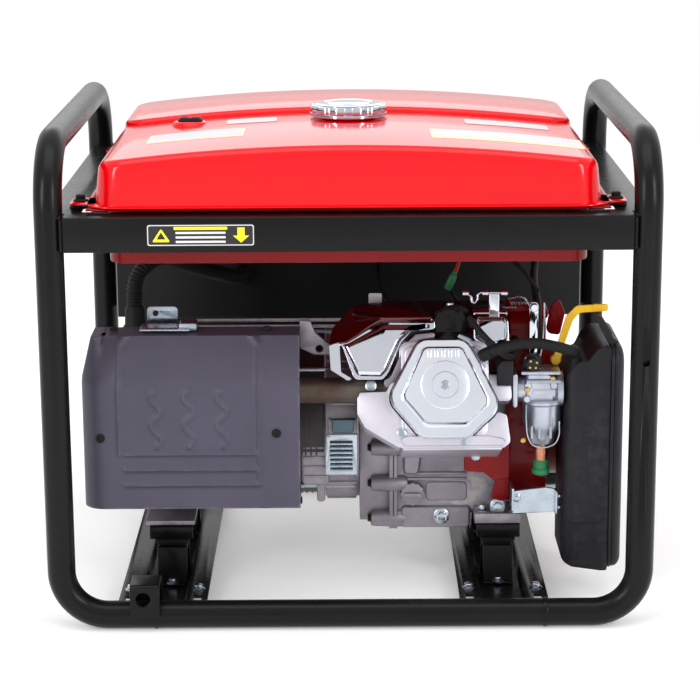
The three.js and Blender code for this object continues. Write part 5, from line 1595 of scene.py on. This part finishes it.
# control panel
def buildControlPanel():
    low, high = (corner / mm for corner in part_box("control_panel"))
    face = high.y - 2
    refit("control_panel", "panelBlack", 2.0, 3)
    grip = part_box("recoil_grip")[0] / mm
    edge = min(max(grip.x - 14, 120), 290)  # the skirt ends short of the starter grip's path
    skirt = [plate("skirt", rectangle(-296, edge, 226, low.z + 4, 3), 2, onSide("near", -low.y - 2.2),
            0.6), plate("skirt_lip", rectangle(-296, edge, 224, 228, 1.5), 14,
            onSide("near", -low.y - 2.2), 0.8)]
    give(join("panel_rear_skirt", skirt), "panelBlack")
    inlay = plate("inlay", rectangle(-high.x + 16, high.x - 16, low.z + 14, high.z - 14, 10), 0.8,
            onSide("far", face), 0.3)
    give(inlay, "panelGrey")
    for i, node in enumerate(("socket_lid_1", "socket_lid_2")):
        lidLow, lidHigh = (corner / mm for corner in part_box(node))
        x, z = (lidLow.x + lidHigh.x) / 2, lidLow.z + 31
        half = (lidHigh.x - lidLow.x) / 2
        lid = stack("lid", rectangle(-x - half, -x + half, z - half, z + half, 7),
                [(0, 0), (2.5, 0), (3.6, 1.2), (3.6, 7), (4.6, 8), (5, 10)], onSide("far", lidLow.y))
        hinge = rod("hinge", (lidLow.x + 4, lidLow.y + 3.2, z + half + 1),
                (lidHigh.x - 4, lidLow.y + 3.2, z + half + 1), 3, 16)
        tab = plate("tab", rectangle(-x - 9, -x + 9, z - half - 0.3, z - half + 5, 2), 3.4,
                onSide("far", lidLow.y + 1.6), 0.7)
        give(join(node + "_cover", [lid, hinge, tab]), "blackPlastic", node, (node,))
        ringProfile = [(21, 0), (29, 0), (30.4, 0.4), (30.4, 1.4), (29, 1.9), (21, 1.9), (21, 0)]
        ring = turned("ring", ringProfile, onSide("far", face + 0.1, -x, z), 48)
        give(ring, "blackPlastic")
        bolts(f"socket_{i + 1}_screws", [onSide("far", face + 0.8, -x + dx, z + dz) for dx in (-36, 36)
                for dz in (-34, 34)], 0.6, "pan")
    meter = [stack("bezel", rectangle(196, 244, 322, 370, 6), [(0, 0), (3, 0), (4, 1), (4, 4), (2.4, 5)],
            onSide("far", face)), stack("bezel", rectangle(-264, -216, 322, 370, 24),
            [(0, 0), (3, 0), (4, 1.5), (4, 5), (2.6, 6)], onSide("far", face))]
    give(join("meter_bezels", meter), "blackPlastic")
    dial = plate("dial", rectangle(202, 238, 328, 364, 3), 0.6, onSide("far", face + 2.5), 0.2)
    give(dial, "windowPale")
    marks = []
    for i in range(9):
        angle = math.radians(140 - i * 12.5)
        place = onSide("far", face + 3.1, 220 + 15 * math.cos(angle), 336 + 20 * math.sin(angle))
        mark = plate("mark", rectangle(-0.5, 0.5, -2, 2, 0), 0.2,
                place @ Matrix.Rotation(angle - math.pi / 2, 4, "Z"))
        marks.append(mark)
    needle = plate("needle", [(219.2, 333, 0), (220.8, 333, 0), (227, 352, 0)], 0.3,
            onSide("far", face + 3.1))
    give(join("meter_marks", [*marks, needle]), "decalBlack")
    stud = [(0, 0), (8, 0), (8, 2), (5, 2.6), (5, 8), (4, 9), (0, 9)]
    give(turned("earth_terminal", stud, onSide("far", face, 100, 300), 24), "brass")
    low, high = (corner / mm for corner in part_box("engine_switch"))
    z = (low.z + high.z) / 2
    rocker = [(low.y, z - 1, 0.4), (low.y + 2.8, z - 17, 1), (high.y, z - 17, 1.2), (high.y - 3, z, 6),
            (high.y, z + 17, 1.2), (low.y + 2.8, z + 17, 1), (low.y, z + 1, 0.4)]
    key = plate("rocker", rocker, high.x - low.x, onSide("right", low.x), 0.7)
    give(key, "red", "engine_switch", ("engine_switch",))
    low, high = (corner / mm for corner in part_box("breaker_toggle"))
    toggle = plate("toggle", [(low.y, low.z + 1, 0.5), (high.y, low.z, 1.5), (high.y, high.z, 1.5),
            (low.y, high.z - 1, 0.5)], high.x - low.x, onSide("right", low.x), 0.7)
    give(toggle, "blackPlastic", "breaker", ("breaker_toggle",))
    bolts("panel_screws", [onSide("far", face, x, z) for x in (-296, 296) for z in (272, 420)], 0.8, "pan",
            "softBlack")


def buildFuelTap():
    refit("fuel_tap", "carbAlloy", 1.0)
    refit("fuel_tap_lever", "blackPlastic", 1.2, body="fuel_tap_lever")


buildAlternator()
buildLouvre()
buildIsolators()
buildControlPanel()
buildFuelTap()
print("alternator, isolators and panel built")

# the nodes that stay as packed, most of them inside the engine
inner = {
    "piston": "blastedAluminium", "crankshaft_pto_half": "steel", "crankshaft_flywheel_half": "steel",
    "flywheel": "castAluminium", "rotor": "copperWire", "air_filter": "foam",
    "fuel_cap_gasket": "softBlack",
}
for node, finish in inner.items():
    wear(frame["nodes"][node], finish)
for pattern in patterns.values():
    bpy.data.objects.remove(pattern)
